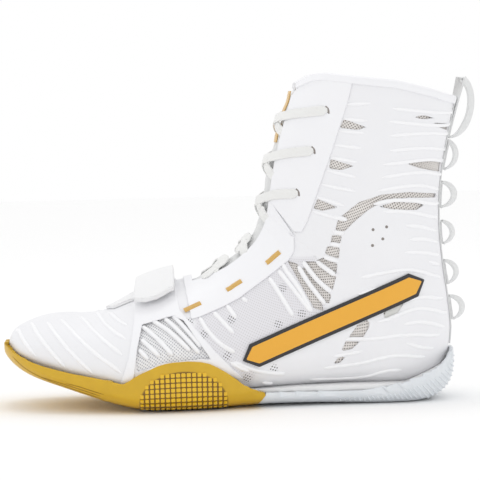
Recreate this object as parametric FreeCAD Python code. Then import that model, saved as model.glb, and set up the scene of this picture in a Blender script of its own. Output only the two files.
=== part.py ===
"""High-top boxing boot, left foot, as an assembly of separate pieces.

Frame: millimetres, +Z up, toe towards -X, outer (lateral) side towards -Y.
The origin is on the floor, at the middle of the heel tread, under the leg.
Every soft piece is a slice of the same foot shape, taken between two offsets
from it and trimmed by outlines drawn in side view.
"""
import FreeCAD, Part
import math
import os

V = FreeCAD.Vector

# ---- driving dimensions, mm -------------------------------------------------
BOOT_LENGTH = 290.0     # sole, toe tip to heel
BOOT_HEIGHT = 210.0     # floor to the front of the collar
BALL_WIDTH = 95.0       # upper across the ball of the foot

LINING = 1.4            # mesh bootie
TONGUE = 3.2            # padded tongue
STIFFENER = 0.7         # toe puff, heel counter and insole board
SKIN = 1.5              # knit and fused film, over the bootie
TRIM = 1.3              # lace stays, saddle panels
TAPE = 1.1              # heel tape, woven badges
LACE = 1.2              # flat lace, thickness
LACE_WIDTH = 7.0
PATCH = 0.8             # hook patch, loop patch
STRAP = 2.2             # hook and loop strap
LAYER_GAP = 0.1         # between layers of one body
JOINT_GAP = 0.5         # between bodies

CUP_WALL = 2.8          # rubber cup beside the upper
OUTSOLE = 3.2           # rubber under the midsole
SOCKLINER = 3.5         # removable foam insole
SOLE_DROP = 0.6         # tread below the floor line before it is cut flat

THROAT_HALF = 15.0      # half the gap between the lace stays
TONGUE_HALF = 25.0      # half the tongue's width
TAPE_HALF = 6.0         # half the heel tape's width
LOOP_WIDTH = 10.0       # pull loop webbing
LOOP_THICK = 1.4

TOE_AXIS = (-168.0, 9.0)    # flex line of the toe, x and z
TOE_FLEX = 15.0             # degrees of upward bend
ANKLE_AXIS = (-12.0, 80.0)  # flex line of the ankle, x and z
ANKLE_RADIUS = 72.0         # where the shaft parts from the foot
ANKLE_FORWARD = 12.0        # degrees of forward bend
ANKLE_BACK = 4.0            # degrees of backward bend
FLEX_SPARE = 2.0            # degrees left over at each stop

# ---- scaling of the side-view drawing ---------------------------------------
DRAWN_LENGTH, DRAWN_HEIGHT, DRAWN_WIDTH = 290.0, 210.0, 95.0
LONG = BOOT_LENGTH / DRAWN_LENGTH
HIGH = BOOT_HEIGHT / DRAWN_HEIGHT
WIDE = BALL_WIDTH / DRAWN_WIDTH
REACH = 400.0           # past everything


def at(x, z):
    """A point of the side-view drawing, at the boot's own size."""
    return (x * LONG, z * HIGH)


# ---- the foot shape ----------------------------------------------------------
# Sections from toe to collar. Each stands on a line in side view, from a sole
# point to a top point: top x z, bottom x z, half width, centre y, roundness of
# the top and bottom halves, height of the widest place, and how far it leads
# towards the toe as the shape is offset.
SIDES = {"lateral": -1, "medial": 1}
SECTIONS = [
    (-231.5, 42.5, -231.5, 38.5, 7.0, 11.0, 2.0, 2.0, 0.50, 1.0),
    (-229.5, 47.0, -229.5, 36.0, 16.0, 10.5, 2.1, 2.2, 0.48, 0.8),
    (-224.0, 51.0, -224.0, 30.6, 25.5, 9.5, 2.2, 2.4, 0.45, 0.4),
    (-213.0, 55.5, -213.0, 25.4, 33.5, 8.0, 2.2, 2.6, 0.42, 0.2),
    (-196.0, 58.0, -196.0, 19.6, 39.5, 6.0, 2.1, 2.8, 0.40, 0.0),
    (-172.0, 59.0, -172.0, 12.6, 44.8, 3.0, 2.0, 3.0, 0.38, 0.0),
    (-150.0, 69.5, -150.0, 8.6, 47.4, 0.5, 1.8, 3.0, 0.33, 0.0),
    (-130.0, 76.5, -130.0, 8.6, 46.6, -1.0, 1.75, 3.0, 0.32, 0.0),
    (-110.5, 81.0, -106.0, 9.2, 43.0, -1.5, 1.8, 3.0, 0.33, 0.0),
    (-93.5, 89.0, -80.0, 10.2, 39.0, -1.0, 1.8, 3.0, 0.35, 0.0),
    (-82.0, 98.0, -50.0, 11.2, 36.0, -0.5, 1.9, 2.9, 0.38, 0.0),
    (-74.5, 107.0, -16.0, 11.6, 34.5, 0.0, 2.0, 2.8, 0.42, 0.0),
    (-70.0, 116.0, 20.0, 11.2, 34.0, 0.0, 2.1, 2.6, 0.45, 0.0),
    (-68.0, 124.5, 43.0, 21.0, 33.8, 0.0, 2.1, 2.4, 0.48, 0.0),
    (-66.5, 133.5, 49.5, 45.0, 33.8, 0.0, 2.1, 2.3, 0.50, 0.0),
    (-64.5, 143.5, 46.5, 75.0, 34.2, 0.0, 2.1, 2.3, 0.50, 0.0),
    (-61.5, 156.0, 43.5, 105.0, 35.2, 0.0, 2.1, 2.3, 0.50, 0.0),
    (-57.0, 171.0, 44.0, 135.0, 37.2, 0.0, 2.1, 2.3, 0.50, 0.0),
    (-51.5, 188.0, 48.5, 163.0, 39.6, 0.0, 2.1, 2.3, 0.50, 0.0),
    (-45.5, 206.0, 54.5, 190.0, 41.5, 0.0, 2.1, 2.3, 0.50, 0.0),
    (-39.0, 226.0, 61.0, 218.0, 43.5, 0.0, 2.1, 2.3, 0.50, 0.0),
]
# The tread's point under each of those sections, as far as the heel: x, z, and
# how square the sole is there between its underside and its wall.
TREAD = [
    (-231.5, 35.5, 2.4), (-229.5, 31.4, 3.0), (-224.0, 25.5, 3.8), (-213.0, 19.9, 4.5),
    (-196.0, 14.0, 5.0), (-172.0, 6.2, 5.0), (-150.0, 1.0, 5.0), (-130.0, 0.0, 5.0),
    (-105.5, 0.0, 5.0), (-78.4, 1.2, 5.0), (-46.8, 1.2, 5.0), (-9.0, 0.0, 5.0),
    (29.4, 0.0, 4.4), (50.7, 13.9, 3.2), (52.3, 42.9, 2.4),
]
AROUND = 28             # points round each section


def section(row, offset, tread=None, tread_up=0.0):
    """Closed curve of one section, offset outwards in its own plane."""
    tx, tz, bx, bz, half, centre, top_n, low_n, mid, lead = row
    top, low = V(tx * LONG, 0, tz * HIGH), V(bx * LONG, 0, bz * HIGH)
    up = (top - low).normalize()
    ahead = V(-1, 0, 0) * (offset * lead)
    top = top + up * offset + ahead
    if tread is None:
        low = low - up * offset + ahead
    else:
        low = V(tread[0] * LONG, 0, tread[1] * HIGH - SOLE_DROP) + up * tread_up + ahead
        low_n = tread[2]
    height = (top - low).Length
    up = (top - low).normalize()
    half = half * WIDE + offset
    points = []
    for k in range(AROUND):
        angle = 2 * math.pi * k / AROUND
        c, s = math.cos(angle), math.sin(angle)
        n = top_n if c >= 0 else low_n
        rise = (1 - mid) if c >= 0 else mid
        along = height * (mid + math.copysign(rise * abs(c) ** (2 / n), c))
        across = centre * WIDE + math.copysign(half * abs(s) ** (2 / n), s)
        points.append(low + up * along + V(0, across, 0))
    curve = Part.BSplineCurve()
    steps = [k / AROUND for k in range(AROUND + 1)]
    curve.interpolate(Points=points, PeriodicFlag=True, Parameters=steps)
    return curve


def skinned(curves):
    """A closed solid through a row of section curves that share their knots."""
    columns = []
    steps = [float(k) for k in range(len(curves))]
    for around in zip(*[curve.getPoles() for curve in curves]):
        column = Part.BSplineCurve()
        column.interpolate(Points=list(around), Parameters=steps)
        columns.append(column)
    first, along = curves[0], columns[0]
    surface = Part.BSplineSurface()
    surface.buildFromPolesMultsKnots(
        [column.getPoles() for column in columns],
        first.getMultiplicities(), along.getMultiplicities(),
        first.getKnots(), along.getKnots(),
        True, False, first.Degree, along.Degree)
    side = surface.toShape()
    caps = [Part.Face(Part.Wire([curves[k].toShape()])) for k in (0, -1)]
    shell = Part.makeShell([side] + caps)
    shell.sewShape(0.01)
    solid = Part.makeSolid(shell)
    if solid.Volume < 0:
        solid.reverse()
    return solid


_forms = {}


def form(offset):
    """The whole foot shape as a solid, offset outwards by a distance."""
    if offset not in _forms:
        _forms[offset] = skinned([section(row, offset) for row in SECTIONS])
    return _forms[offset]


def tread_form(offset, tread_up):
    """The foot shape with its underside let down to the tread."""
    lows = TREAD + [None] * (len(SECTIONS) - len(TREAD))
    return skinned([section(row, offset, low, tread_up) for row, low in zip(SECTIONS, lows)])


# ---- offsets of the layers from the foot shape ---------------------------------
IN_LINING = -LINING
OUT_TONGUE = IN_LINING - LAYER_GAP
IN_TONGUE = OUT_TONGUE - TONGUE
IN_SKIN = LAYER_GAP
OUT_STIFF = IN_SKIN + STIFFENER
OUT_SKIN = IN_SKIN + SKIN
IN_TRIM = OUT_SKIN + LAYER_GAP
OUT_TRIM = IN_TRIM + TRIM
OUT_TAPE = IN_TRIM + TAPE
IN_LACE = OUT_TRIM + LAYER_GAP
OUT_LACE = IN_LACE + LACE
IN_LOOP_PATCH = OUT_TRIM + LAYER_GAP
OUT_LOOP_PATCH = IN_LOOP_PATCH + PATCH
IN_HOOK_PATCH = OUT_LOOP_PATCH + JOINT_GAP
OUT_HOOK_PATCH = IN_HOOK_PATCH + PATCH
IN_STRAP = OUT_HOOK_PATCH + LAYER_GAP
OUT_STRAP = IN_STRAP + STRAP


# ---- outlines and cutters ------------------------------------------------------
def prism(outline, y0=-REACH, y1=REACH, drawn=True):
    """Side-view outline swept across the boot between two widths."""
    points = [V(*at(x, z)) if drawn else V(x, z) for x, z in outline]
    points = [V(p.x, y0, p.y) for p in points]
    face = Part.Face(Part.makePolygon(points + [points[0]]))
    return face.extrude(V(0, y1 - y0, 0))


def slab(x0, x1, y0, y1, z0, z1):
    """Box between two corners."""
    return Part.makeBox(x1 - x0, y1 - y0, z1 - z0, V(x0, y0, z0))


def beyond(y):
    """Everything past a width: y negative is the outer side, positive the inner."""
    if y < 0:
        return slab(-REACH, REACH, -REACH, y, -REACH, REACH)
    return slab(-REACH, REACH, y, REACH, -REACH, REACH)


def half(side, from_centre=LAYER_GAP / 2):
    """The outer side (-1) or the inner side (+1) of the boot."""
    return beyond(side * from_centre)


def shell_piece(inner, outer, *regions):
    """The part of the shell between two offsets that lies in every region."""
    piece = form(outer)
    for region in regions:
        piece = piece.common(region)
    return piece.cut(form(inner))


def along(line, rise=0.0):
    """A side-view line lifted by a distance, with the ground far below it."""
    up = rise / HIGH
    points = [(x, z + up) for x, z in line]
    return points + [(line[-1][0], -REACH), (line[0][0], -REACH)]


BOTTOM = [(-300.0, 60.0), (-235.0, 44.0)] + [(row[2], row[3]) for row in SECTIONS[:14]]
BOTTOM = BOTTOM[:2] + BOTTOM[3:] + [(120.0, 60.0)]
FEATHER_RISE = 2.6      # board's edge above the foot shape's lowest line

COLLAR = [(-70.0, 192.0), (-49.0, 196.0), (-43.0, 203.5), (-34.0, 208.5), (-27.0, 209.8),
          (-6.5, 206.5), (15.5, 204.0), (25.0, 201.5), (38.5, 198.0), (46.0, 195.5),
          (57.0, 193.0), (80.0, 190.0)]
TOE_RUBBER = [(-260.0, 50.0), (-235.0, 41.3), (-230.8, 37.8), (-224.1, 34.3),
              (-217.4, 31.5), (-210.0, 29.2), (-202.5, 27.3), (-192.7, 25.0),
              (-182.9, 23.4), (-172.9, 21.6), (-165.6, 19.8), (-159.8, 18.5),
              (-155.5, 20.9), (-149.8, 24.4), (-144.2, 26.9), (-138.5, 29.4),
              (-133.2, 30.9), (-127.9, 31.7), (-119.1, 32.0), (-110.9, 31.3),
              (-105.2, 29.8), (-99.6, 26.8), (-94.0, 23.2), (-88.3, 19.0),
              (-84.5, 15.6), (-75.0, 10.6), (-69.9, 8.9)]
HEEL_RUBBER = [(-69.9, 9.2), (-29.8, 8.2), (-11.3, 8.2), (3.3, 9.5), (18.1, 12.7),
               (27.9, 15.7), (38.2, 20.1), (45.9, 24.9), (52.3, 31.6), (80.0, 60.0)]
SOLE_SPLIT = -70.0
THROAT = [(-113.0, 65.0), (-106.0, 69.0), (-88.0, 79.0), (-74.0, 90.0), (-62.0, 104.0),
          (-55.0, 122.0), (-51.0, 145.0), (-44.0, 170.0), (-34.0, 192.0), (-22.0, 215.0),
          (-80.0, 230.0), (-150.0, 110.0), (-116.0, 95.0)]
LOWER_STAY = [(-116.0, 57.6), (-109.8, 59.1), (-94.3, 65.2), (-85.8, 69.3),
              (-66.2, 82.8), (-53.5, 93.5), (-50.3, 108.2), (-60.0, 125.0),
              (-130.0, 130.0), (-122.0, 90.0)]
UPPER_STAY = [(-41.0, 112.0), (-42.1, 117.1), (-38.0, 129.0), (-16.8, 191.0),
              (-9.0, 215.0), (-80.0, 230.0), (-120.0, 112.0)]
SADDLE = [(-151.0, 95.0), (-151.0, 57.9), (-155.0, 34.0), (-157.6, 21.0),
          (-149.8, 25.4), (-144.2, 27.9), (-138.5, 30.4), (-127.9, 32.7),
          (-119.1, 33.0), (-110.9, 32.3), (-105.2, 30.8), (-99.6, 27.8),
          (-94.0, 24.2), (-88.3, 20.2), (-84.5, 19.0), (-101.6, 37.0),
          (-124.5, 66.0), (-124.5, 95.0)]
SADDLE_WINDOW = [(-146.0, 55.5), (-127.5, 58.5), (-110.5, 38.0), (-119.1, 36.0),
                 (-130.0, 35.7), (-140.0, 33.5), (-149.0, 29.5)]
BADGE_CENTRE, BADGE_HALF_LENGTH, BADGE_HALF_WIDTH = (-26.0, 54.0), 55.0, 8.0
BADGE_RISE = 22.0       # degrees, climbing to the heel
TACKS = [(-114.0, 63.4, 22.0), (-87.4, 76.8, 30.0), (-62.5, 94.0, 40.0)]
TACK_LENGTH, TACK_WIDTH = 11.0, 3.2
STRAP_FRONT, STRAP_REAR = -150.5, -125.0
STRAP_END = [(-153.0, 120.0), (-150.5, 68.6), (-143.3, 68.3), (-134.5, 70.9),
             (-125.0, 75.2), (-123.0, 120.0)]
STRAP_ROOT = 42.0       # height of the strap's hinge on the inner side
# lace crossings from one lace stay to the other: x and z of each row of eyelets
LACE_LOW = [(-106.5, 84.5), (-96.5, 89.0), (-88.0, 96.0)]
LACE_MID = [(-79.0, 104.5), (-73.5, 114.0), (-71.0, 122.0)]
LACE_TOP = [(-68.3, 137.5), (-65.3, 148.0), (-62.0, 159.0), (-58.4, 170.5),
            (-54.4, 182.0), (-50.5, 193.0)]
# pull loops: centre x z, reach behind, half height, lean in degrees
LOOPS = [(55.5, 186.0, 11.0, 19.0, -12.0), (46.5, 156.0, 10.0, 9.5, -10.0),
         (45.0, 130.0, 10.0, 7.5, 0.0), (43.5, 105.5, 10.0, 7.2, 0.0),
         (46.0, 79.5, 9.5, 7.2, 5.0), (50.0, 56.5, 9.0, 7.0, 6.0)]


# ---- where the bodies part -----------------------------------------------------
def sector(axis, first, last, radius=REACH):
    """Side-view wedge about an axis between two angles, in degrees."""
    x, z = axis[0] * LONG, axis[1] * HIGH
    steps = [first + (last - first) * k / 6 for k in range(7)]
    rim = [(x + radius * math.cos(math.radians(a)),
            z + radius * math.sin(math.radians(a))) for a in steps]
    return prism([(x, z)] + rim, drawn=False)


def drum(axis, radius):
    """Round cutter across the whole boot."""
    centre = V(axis[0] * LONG, -REACH, axis[1] * HIGH)
    return Part.makeCylinder(radius, 2 * REACH, centre, V(0, 1, 0))


TOE_TILT = math.tan(math.radians(TOE_FLEX + FLEX_SPARE))
TOE_X, TOE_Z = at(*TOE_AXIS)
toe_side = slab(-REACH, TOE_X, -REACH, REACH, -REACH, REACH)
behind_toe = prism([(TOE_X + JOINT_GAP, -REACH), (TOE_X + JOINT_GAP, TOE_Z),
                    (TOE_X + JOINT_GAP + REACH * TOE_TILT, TOE_Z + REACH),
                    (REACH, TOE_Z + REACH), (REACH, -REACH)], drawn=False)
toe_wedge = prism([(TOE_X + LAYER_GAP, TOE_Z + LAYER_GAP), (TOE_X + LAYER_GAP, TOE_Z + REACH),
                   (TOE_X + JOINT_GAP - LAYER_GAP + REACH * TOE_TILT, TOE_Z + REACH),
                   (TOE_X + JOINT_GAP - LAYER_GAP, TOE_Z + LAYER_GAP)], drawn=False)

SHAFT_BACK, SHAFT_FRONT = 33.0, 146.0   # degrees about the ankle axis
RADIUS = ANKLE_RADIUS * LONG            # it ends at the back of the heel
shaft_side = sector(ANKLE_AXIS, SHAFT_BACK, SHAFT_FRONT).cut(drum(ANKLE_AXIS, RADIUS))
foot_ring = sector(ANKLE_AXIS, SHAFT_FRONT + ANKLE_FORWARD + FLEX_SPARE,
                   360 + SHAFT_BACK - ANKLE_BACK - FLEX_SPARE / 2, REACH)
under_shaft = drum(ANKLE_AXIS, RADIUS - JOINT_GAP).fuse(foot_ring)
foot_side = under_shaft.common(behind_toe)
lace_wedge = sector(ANKLE_AXIS, SHAFT_FRONT + 1.0,
                    SHAFT_FRONT + ANKLE_FORWARD + FLEX_SPARE - 0.5)
below_collar = prism(COLLAR + [(80.0, -REACH), (-REACH, -REACH), (-REACH, 192.0)])
throat = prism(THROAT, -THROAT_HALF, THROAT_HALF)
above_ground = slab(-REACH, REACH, -REACH, REACH, 0, REACH)

parts = {}


def keep(name, piece):
    """Record one finished piece, as a single solid."""
    solids = sorted(piece.Solids, key=lambda solid: -solid.Volume)
    if not solids:
        raise ValueError(name + " is empty")
    if len(solids) > 1 and solids[1].Volume > 0.02 * solids[0].Volume:
        print(name, "loses", [round(solid.Volume, 1) for solid in solids[1:]])
    parts[name] = solids[0]


def mirrored(outline, side):
    """Side-view outline swept over one side of the boot only."""
    if side < 0:
        return prism(outline, -REACH, -LAYER_GAP / 2)
    return prism(outline, LAYER_GAP / 2, REACH)


# ---- sole ----------------------------------------------------------------------
sole_outside = tread_form(OUT_SKIN + LAYER_GAP + CUP_WALL, 0).common(above_ground)
sole_inside = tread_form(OUT_SKIN, OUTSOLE)


def cup(outline):
    """Tread and wall of the sole, below a side-view line."""
    rubber = sole_outside.common(prism(along(outline)))
    return rubber.cut(sole_inside).cut(form(OUT_SKIN + LAYER_GAP))


front_cup = cup(TOE_RUBBER)
keep("outsole_toe", front_cup.common(toe_side))
for word, side in SIDES.items():
    keep("outsole_flex_" + word, front_cup.common(toe_wedge).common(half(side)))
keep("outsole_ball", front_cup.common(behind_toe))
keep("outsole_heel", cup(HEEL_RUBBER).common(
    slab(SOLE_SPLIT * LONG + LAYER_GAP, REACH, -REACH, REACH, -REACH, REACH)))

filler = tread_form(OUT_SKIN - LAYER_GAP, OUTSOLE + LAYER_GAP).cut(form(OUT_SKIN + LAYER_GAP))
filler = filler.common(prism(along(BOTTOM, 1.0)))
keep("midsole_toe", filler.common(toe_side))
keep("midsole_foot", filler.common(behind_toe))

under_feather = prism(along(BOTTOM, FEATHER_RISE))
over_feather = above_ground.cut(prism(along(BOTTOM, FEATHER_RISE + LAYER_GAP)))
keep("board_toe", shell_piece(IN_SKIN, OUT_STIFF, under_feather, toe_side))
keep("board_foot", shell_piece(IN_SKIN, OUT_STIFF, under_feather, behind_toe))
insole = form(OUT_TONGUE).common(prism(along(BOTTOM, LINING + LAYER_GAP + SOCKLINER)))
keep("sockliner_toe", insole.common(toe_side))
keep("sockliner_foot", insole.common(foot_side))

# ---- bootie and stiffeners -----------------------------------------------------
TOE_PUFF = [(-REACH, -REACH), (-REACH, REACH), (-186.0, REACH), (-176.0, -REACH)]
COUNTER = [(-16.0, -REACH), (-10.0, 30.0), (8.0, 60.0), (24.0, 76.0), (80.0, 84.0),
           (80.0, -REACH)]
keep("toe_puff", shell_piece(IN_SKIN, OUT_STIFF, prism(TOE_PUFF), over_feather, toe_side))
keep("heel_counter", shell_piece(IN_SKIN, OUT_STIFF, prism(COUNTER), over_feather, foot_side))
keep("lining_toe", shell_piece(IN_LINING, 0.0, toe_side))
keep("lining_flex", shell_piece(IN_LINING, 0.0, toe_wedge))
for word, side in SIDES.items():
    foot_lining = shell_piece(IN_LINING, 0.0, half(side), foot_side).cut(throat)
    keep("lining_foot_" + word, foot_lining)
    shaft_lining = shell_piece(IN_LINING, 0.0, half(side), shaft_side, below_collar)
    keep("lining_shaft_" + word, shaft_lining.cut(throat))

# ---- knit and film skin ----------------------------------------------------------
stiff = form(OUT_STIFF + LAYER_GAP)
pocket = stiff.common(prism(along(BOTTOM, FEATHER_RISE + LAYER_GAP)))
pocket = pocket.fuse(stiff.common(prism(TOE_PUFF)))
pocket = pocket.fuse(stiff.common(prism(COUNTER)))
keep("vamp_toe", shell_piece(IN_SKIN, OUT_SKIN, toe_side).cut(pocket))
keep("vamp_flex", shell_piece(IN_SKIN, OUT_SKIN, toe_wedge).cut(pocket))
for word, side in SIDES.items():
    quarter = shell_piece(IN_SKIN, OUT_SKIN, half(side), foot_side)
    keep("quarter_" + word, quarter.cut(throat).cut(pocket))
    sleeve = shell_piece(IN_SKIN, OUT_SKIN, half(side), shaft_side, below_collar)
    keep("shaft_" + word, sleeve.cut(throat))

# ---- trim over the skin ----------------------------------------------------------
for word, side in SIDES.items():
    saddle = shell_piece(IN_TRIM, OUT_TRIM, mirrored(SADDLE, side), foot_side)
    keep("saddle_" + word, saddle.cut(prism(SADDLE_WINDOW)))
    stay = shell_piece(IN_TRIM, OUT_TRIM, mirrored(LOWER_STAY, side), foot_side)
    keep("lower_stay_" + word, stay.cut(throat))
    stay = shell_piece(IN_TRIM, OUT_TRIM, mirrored(UPPER_STAY, side), shaft_side, below_collar)
    keep("upper_stay_" + word, stay.cut(throat))


def bar(centre, length, width, rise, side, point=0.0):
    """Side-view bar about a centre, climbing to the heel, with pointed ends."""
    a = math.radians(rise)
    corners = [(-length / 2 - point, 0), (-length / 2, -width / 2), (length / 2, -width / 2),
               (length / 2 + point, 0), (length / 2, width / 2), (-length / 2, width / 2)]
    if not point:
        corners = [corner for corner in corners if corner[1]]
    outline = [(centre[0] * LONG + x * math.cos(a) - z * math.sin(a),
                centre[1] * HIGH + x * math.sin(a) + z * math.cos(a)) for x, z in corners]
    if side < 0:
        return prism(outline, -REACH, 0, drawn=False)
    return prism(outline, 0, REACH, drawn=False)


for word, side in SIDES.items():
    for k, (x, z, rise) in enumerate(TACKS, 1):
        cutter = bar((x, z), TACK_LENGTH, TACK_WIDTH, rise, side)
        keep("bar_tack_%s_%d" % (word, k), shell_piece(IN_LACE, IN_LACE + 0.7, cutter))
    cutter = bar(BADGE_CENTRE, 2 * BADGE_HALF_LENGTH, 2 * BADGE_HALF_WIDTH, BADGE_RISE,
                 side, BADGE_HALF_WIDTH)
    keep("badge_" + word, shell_piece(IN_TRIM, OUT_TAPE, cutter, foot_side))

# ---- tongue and laces ------------------------------------------------------------
TONGUE_ZONE = [(-122.0, 55.0), (-108.0, 58.0), (-82.0, 70.0), (-64.0, 84.0),
               (-50.0, 104.0), (-44.0, 125.0), (-40.0, 150.0), (-34.0, 175.0),
               (-24.0, 195.0), (-16.0, 230.0), (-90.0, 240.0), (-160.0, 110.0)]
tongue_zone = prism(TONGUE_ZONE, -TONGUE_HALF, TONGUE_HALF)
keep("tongue_lower", shell_piece(IN_TONGUE, OUT_TONGUE, tongue_zone, foot_side))
keep("tongue_upper", shell_piece(IN_TONGUE, OUT_TONGUE, tongue_zone, shaft_side, below_collar))
label_zone = prism([(-70.0, 176.0), (-30.0, 176.0), (-30.0, 197.0), (-70.0, 193.0)], -9.0, 9.0)
keep("tongue_label", shell_piece(IN_LINING, IN_LINING + TAPE, label_zone))


def crossing(start, end, side, level):
    """One flat band of lace from a stay on one side to a stay on the other."""
    (x0, z0), (x1, z1) = at(*start), at(*end)
    low, high = V(x0, side * (THROAT_HALF + 3), z0), V(x1, -side * (THROAT_HALF + 3), z1)
    run = (high - low).normalize()
    climb = V(x1 - x0, 0, z1 - z0)
    out = V(-climb.z, 0, climb.x).normalize()
    wide = run.cross(out).normalize()
    length = (high - low).Length
    corner = low - wide * (LACE_WIDTH / 2) - out * 25
    base = Part.Face(Part.makePolygon([
        corner, corner + wide * LACE_WIDTH,
        corner + wide * LACE_WIDTH + run * length, corner + run * length, corner]))
    block = base.extrude(out * 50)
    inner = IN_LACE + level * (LACE - 0.1)
    return form(inner + LACE).common(block).cut(form(inner))


def lacing(rows):
    """Crossed lace over a run of eyelet rows, as one piece."""
    lace = None
    for k in range(len(rows) - 1):
        for level, side in enumerate((1, -1)):
            band = crossing(rows[k], rows[k + 1], side, level)
            lace = band if lace is None else lace.fuse(band)
    return lace.removeSplitter()


keep("lace_lower", lacing(LACE_LOW).common(foot_side))
keep("lace_middle", lacing(LACE_MID).common(lace_wedge))
keep("lace_upper", lacing(LACE_TOP))

# ---- strap -----------------------------------------------------------------------
across = slab(STRAP_FRONT * LONG, STRAP_REAR * LONG, -REACH, REACH, -REACH, REACH)
outer_end = prism(STRAP_END, -REACH, 1.0)
inner_end = slab(-REACH, REACH, 0.0, REACH, STRAP_ROOT * HIGH, REACH)
keep("strap", shell_piece(IN_STRAP, OUT_STRAP, across, outer_end.fuse(inner_end)))
patch_zone = prism([(-148.5, 70.5), (-143.3, 70.3), (-134.5, 72.9), (-127.0, 76.5),
                    (-127.0, 90.0), (-148.5, 90.0)], -REACH, -17.0)
keep("hook_patch", shell_piece(IN_HOOK_PATCH, OUT_HOOK_PATCH, patch_zone))
keep("loop_patch", shell_piece(IN_LOOP_PATCH, OUT_LOOP_PATCH, patch_zone))
tab_zone = slab(-164.0 * LONG, -130.0 * LONG, -16.0, 16.0, 62.0 * HIGH, REACH)
keep("strap_tab", shell_piece(IN_LOOP_PATCH, OUT_LOOP_PATCH, tab_zone))

# ---- heel tape and pull loops ------------------------------------------------------
tape_band = slab(0, REACH, -TAPE_HALF, TAPE_HALF, 34.0 * HIGH, REACH)
keep("heel_tape_lower", shell_piece(IN_TRIM, OUT_TAPE, tape_band, foot_side))
keep("heel_tape_upper", shell_piece(IN_TRIM, OUT_TAPE, tape_band, shaft_side, below_collar))


def pull_loop(x, z, reach, half_height, lean):
    """Closed band of webbing standing off the heel tape."""
    centre = V(x * LONG, 0, z * HIGH)

    def tube(a, b):
        points = []
        for k in range(16):
            t = 2 * math.pi * k / 16
            points.append(V(a * math.cos(t), -LOOP_WIDTH / 2, b * math.sin(t)))
        curve = Part.BSplineCurve()
        curve.interpolate(Points=points, PeriodicFlag=True)
        solid = Part.Face(Part.Wire([curve.toShape()])).extrude(V(0, LOOP_WIDTH, 0))
        solid.rotate(V(0, 0, 0), V(0, 1, 0), -lean)
        solid.translate(centre)
        return solid

    half = half_height * HIGH
    band = tube(reach, half).cut(tube(reach - LOOP_THICK, half - LOOP_THICK))
    return band.cut(form(OUT_TAPE + LAYER_GAP))


for k, numbers in enumerate(LOOPS, 1):
    keep("pull_loop_%d" % k, pull_loop(*numbers))

# ---- collar ------------------------------------------------------------------------
rim_low = prism([(x, z - 5.0) for x, z in COLLAR] + [(80.0, -REACH), (-REACH, -REACH),
                                                    (-REACH, 187.0)])
binding = shell_piece(IN_TRIM, OUT_TAPE, below_collar, shaft_side).cut(rim_low)
binding = binding.cut(tape_band).cut(prism(UPPER_STAY))
for word, side in SIDES.items():
    keep("collar_binding_" + word, binding.common(half(side)))

os.makedirs("parts", exist_ok=True)
for name, piece in parts.items():
    piece.exportStep("parts/" + name + ".step")
print(len(parts), "pieces,", round(sum(p.Volume for p in parts.values())), "mm3")
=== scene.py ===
import math
import bpy
import numpy as np
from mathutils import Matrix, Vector
from mathutils.bvhtree import BVHTree
from mathutils.kdtree import KDTree


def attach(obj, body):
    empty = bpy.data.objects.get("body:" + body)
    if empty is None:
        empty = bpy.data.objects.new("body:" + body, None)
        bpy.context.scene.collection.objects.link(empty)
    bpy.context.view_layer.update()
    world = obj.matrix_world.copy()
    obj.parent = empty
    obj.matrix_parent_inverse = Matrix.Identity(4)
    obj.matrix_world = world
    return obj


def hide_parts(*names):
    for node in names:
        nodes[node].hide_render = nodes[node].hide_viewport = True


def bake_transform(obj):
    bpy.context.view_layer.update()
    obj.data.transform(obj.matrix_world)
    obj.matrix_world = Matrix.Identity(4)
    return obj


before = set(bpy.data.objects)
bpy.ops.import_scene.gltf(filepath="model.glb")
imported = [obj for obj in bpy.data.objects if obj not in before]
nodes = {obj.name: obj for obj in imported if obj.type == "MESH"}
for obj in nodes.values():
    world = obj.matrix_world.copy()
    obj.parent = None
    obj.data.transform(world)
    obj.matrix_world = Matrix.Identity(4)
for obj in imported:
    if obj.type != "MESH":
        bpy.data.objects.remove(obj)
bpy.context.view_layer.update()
mm = 0.001
print("frame loaded")

# the fan of rays that finds the foot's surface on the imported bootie
fan = {
    "toeCentre": (-196.0, 6.5, 35.5),
    "toeRows": 44,
    "around": 256,
    "tops": [(-196, 58), (-172, 59), (-150, 69), (-130, 76), (-110, 81), (-93, 89), (-82, 98),
             (-74, 107), (-70, 116), (-68, 124), (-66, 133), (-64, 143), (-61, 156),
             (-57, 171), (-51, 188), (-45, 206), (-39, 226)],
    "lows": [(-196, 13), (-172, 10), (-150, 9), (-130, 9), (-106, 9), (-80, 10), (-50, 11),
             (-16, 12), (20, 11), (43, 21), (49, 45), (46, 75), (43, 105),
             (44, 135), (48, 163), (54, 190), (61, 218)],
    "rowStep": 1.4,
    "halfWidth": 40.0, "halfHeight": 22.5,
}


def treeOf(names):
    verts, faces = [], []
    for name in names:
        mesh = nodes[name].data
        base = len(verts)
        verts.extend(v.co.copy() for v in mesh.vertices)
        mesh.calc_loop_triangles()
        faces.extend(tuple(base + i for i in t.vertices) for t in mesh.loop_triangles)
    return BVHTree.FromPolygons(verts, faces)


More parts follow.
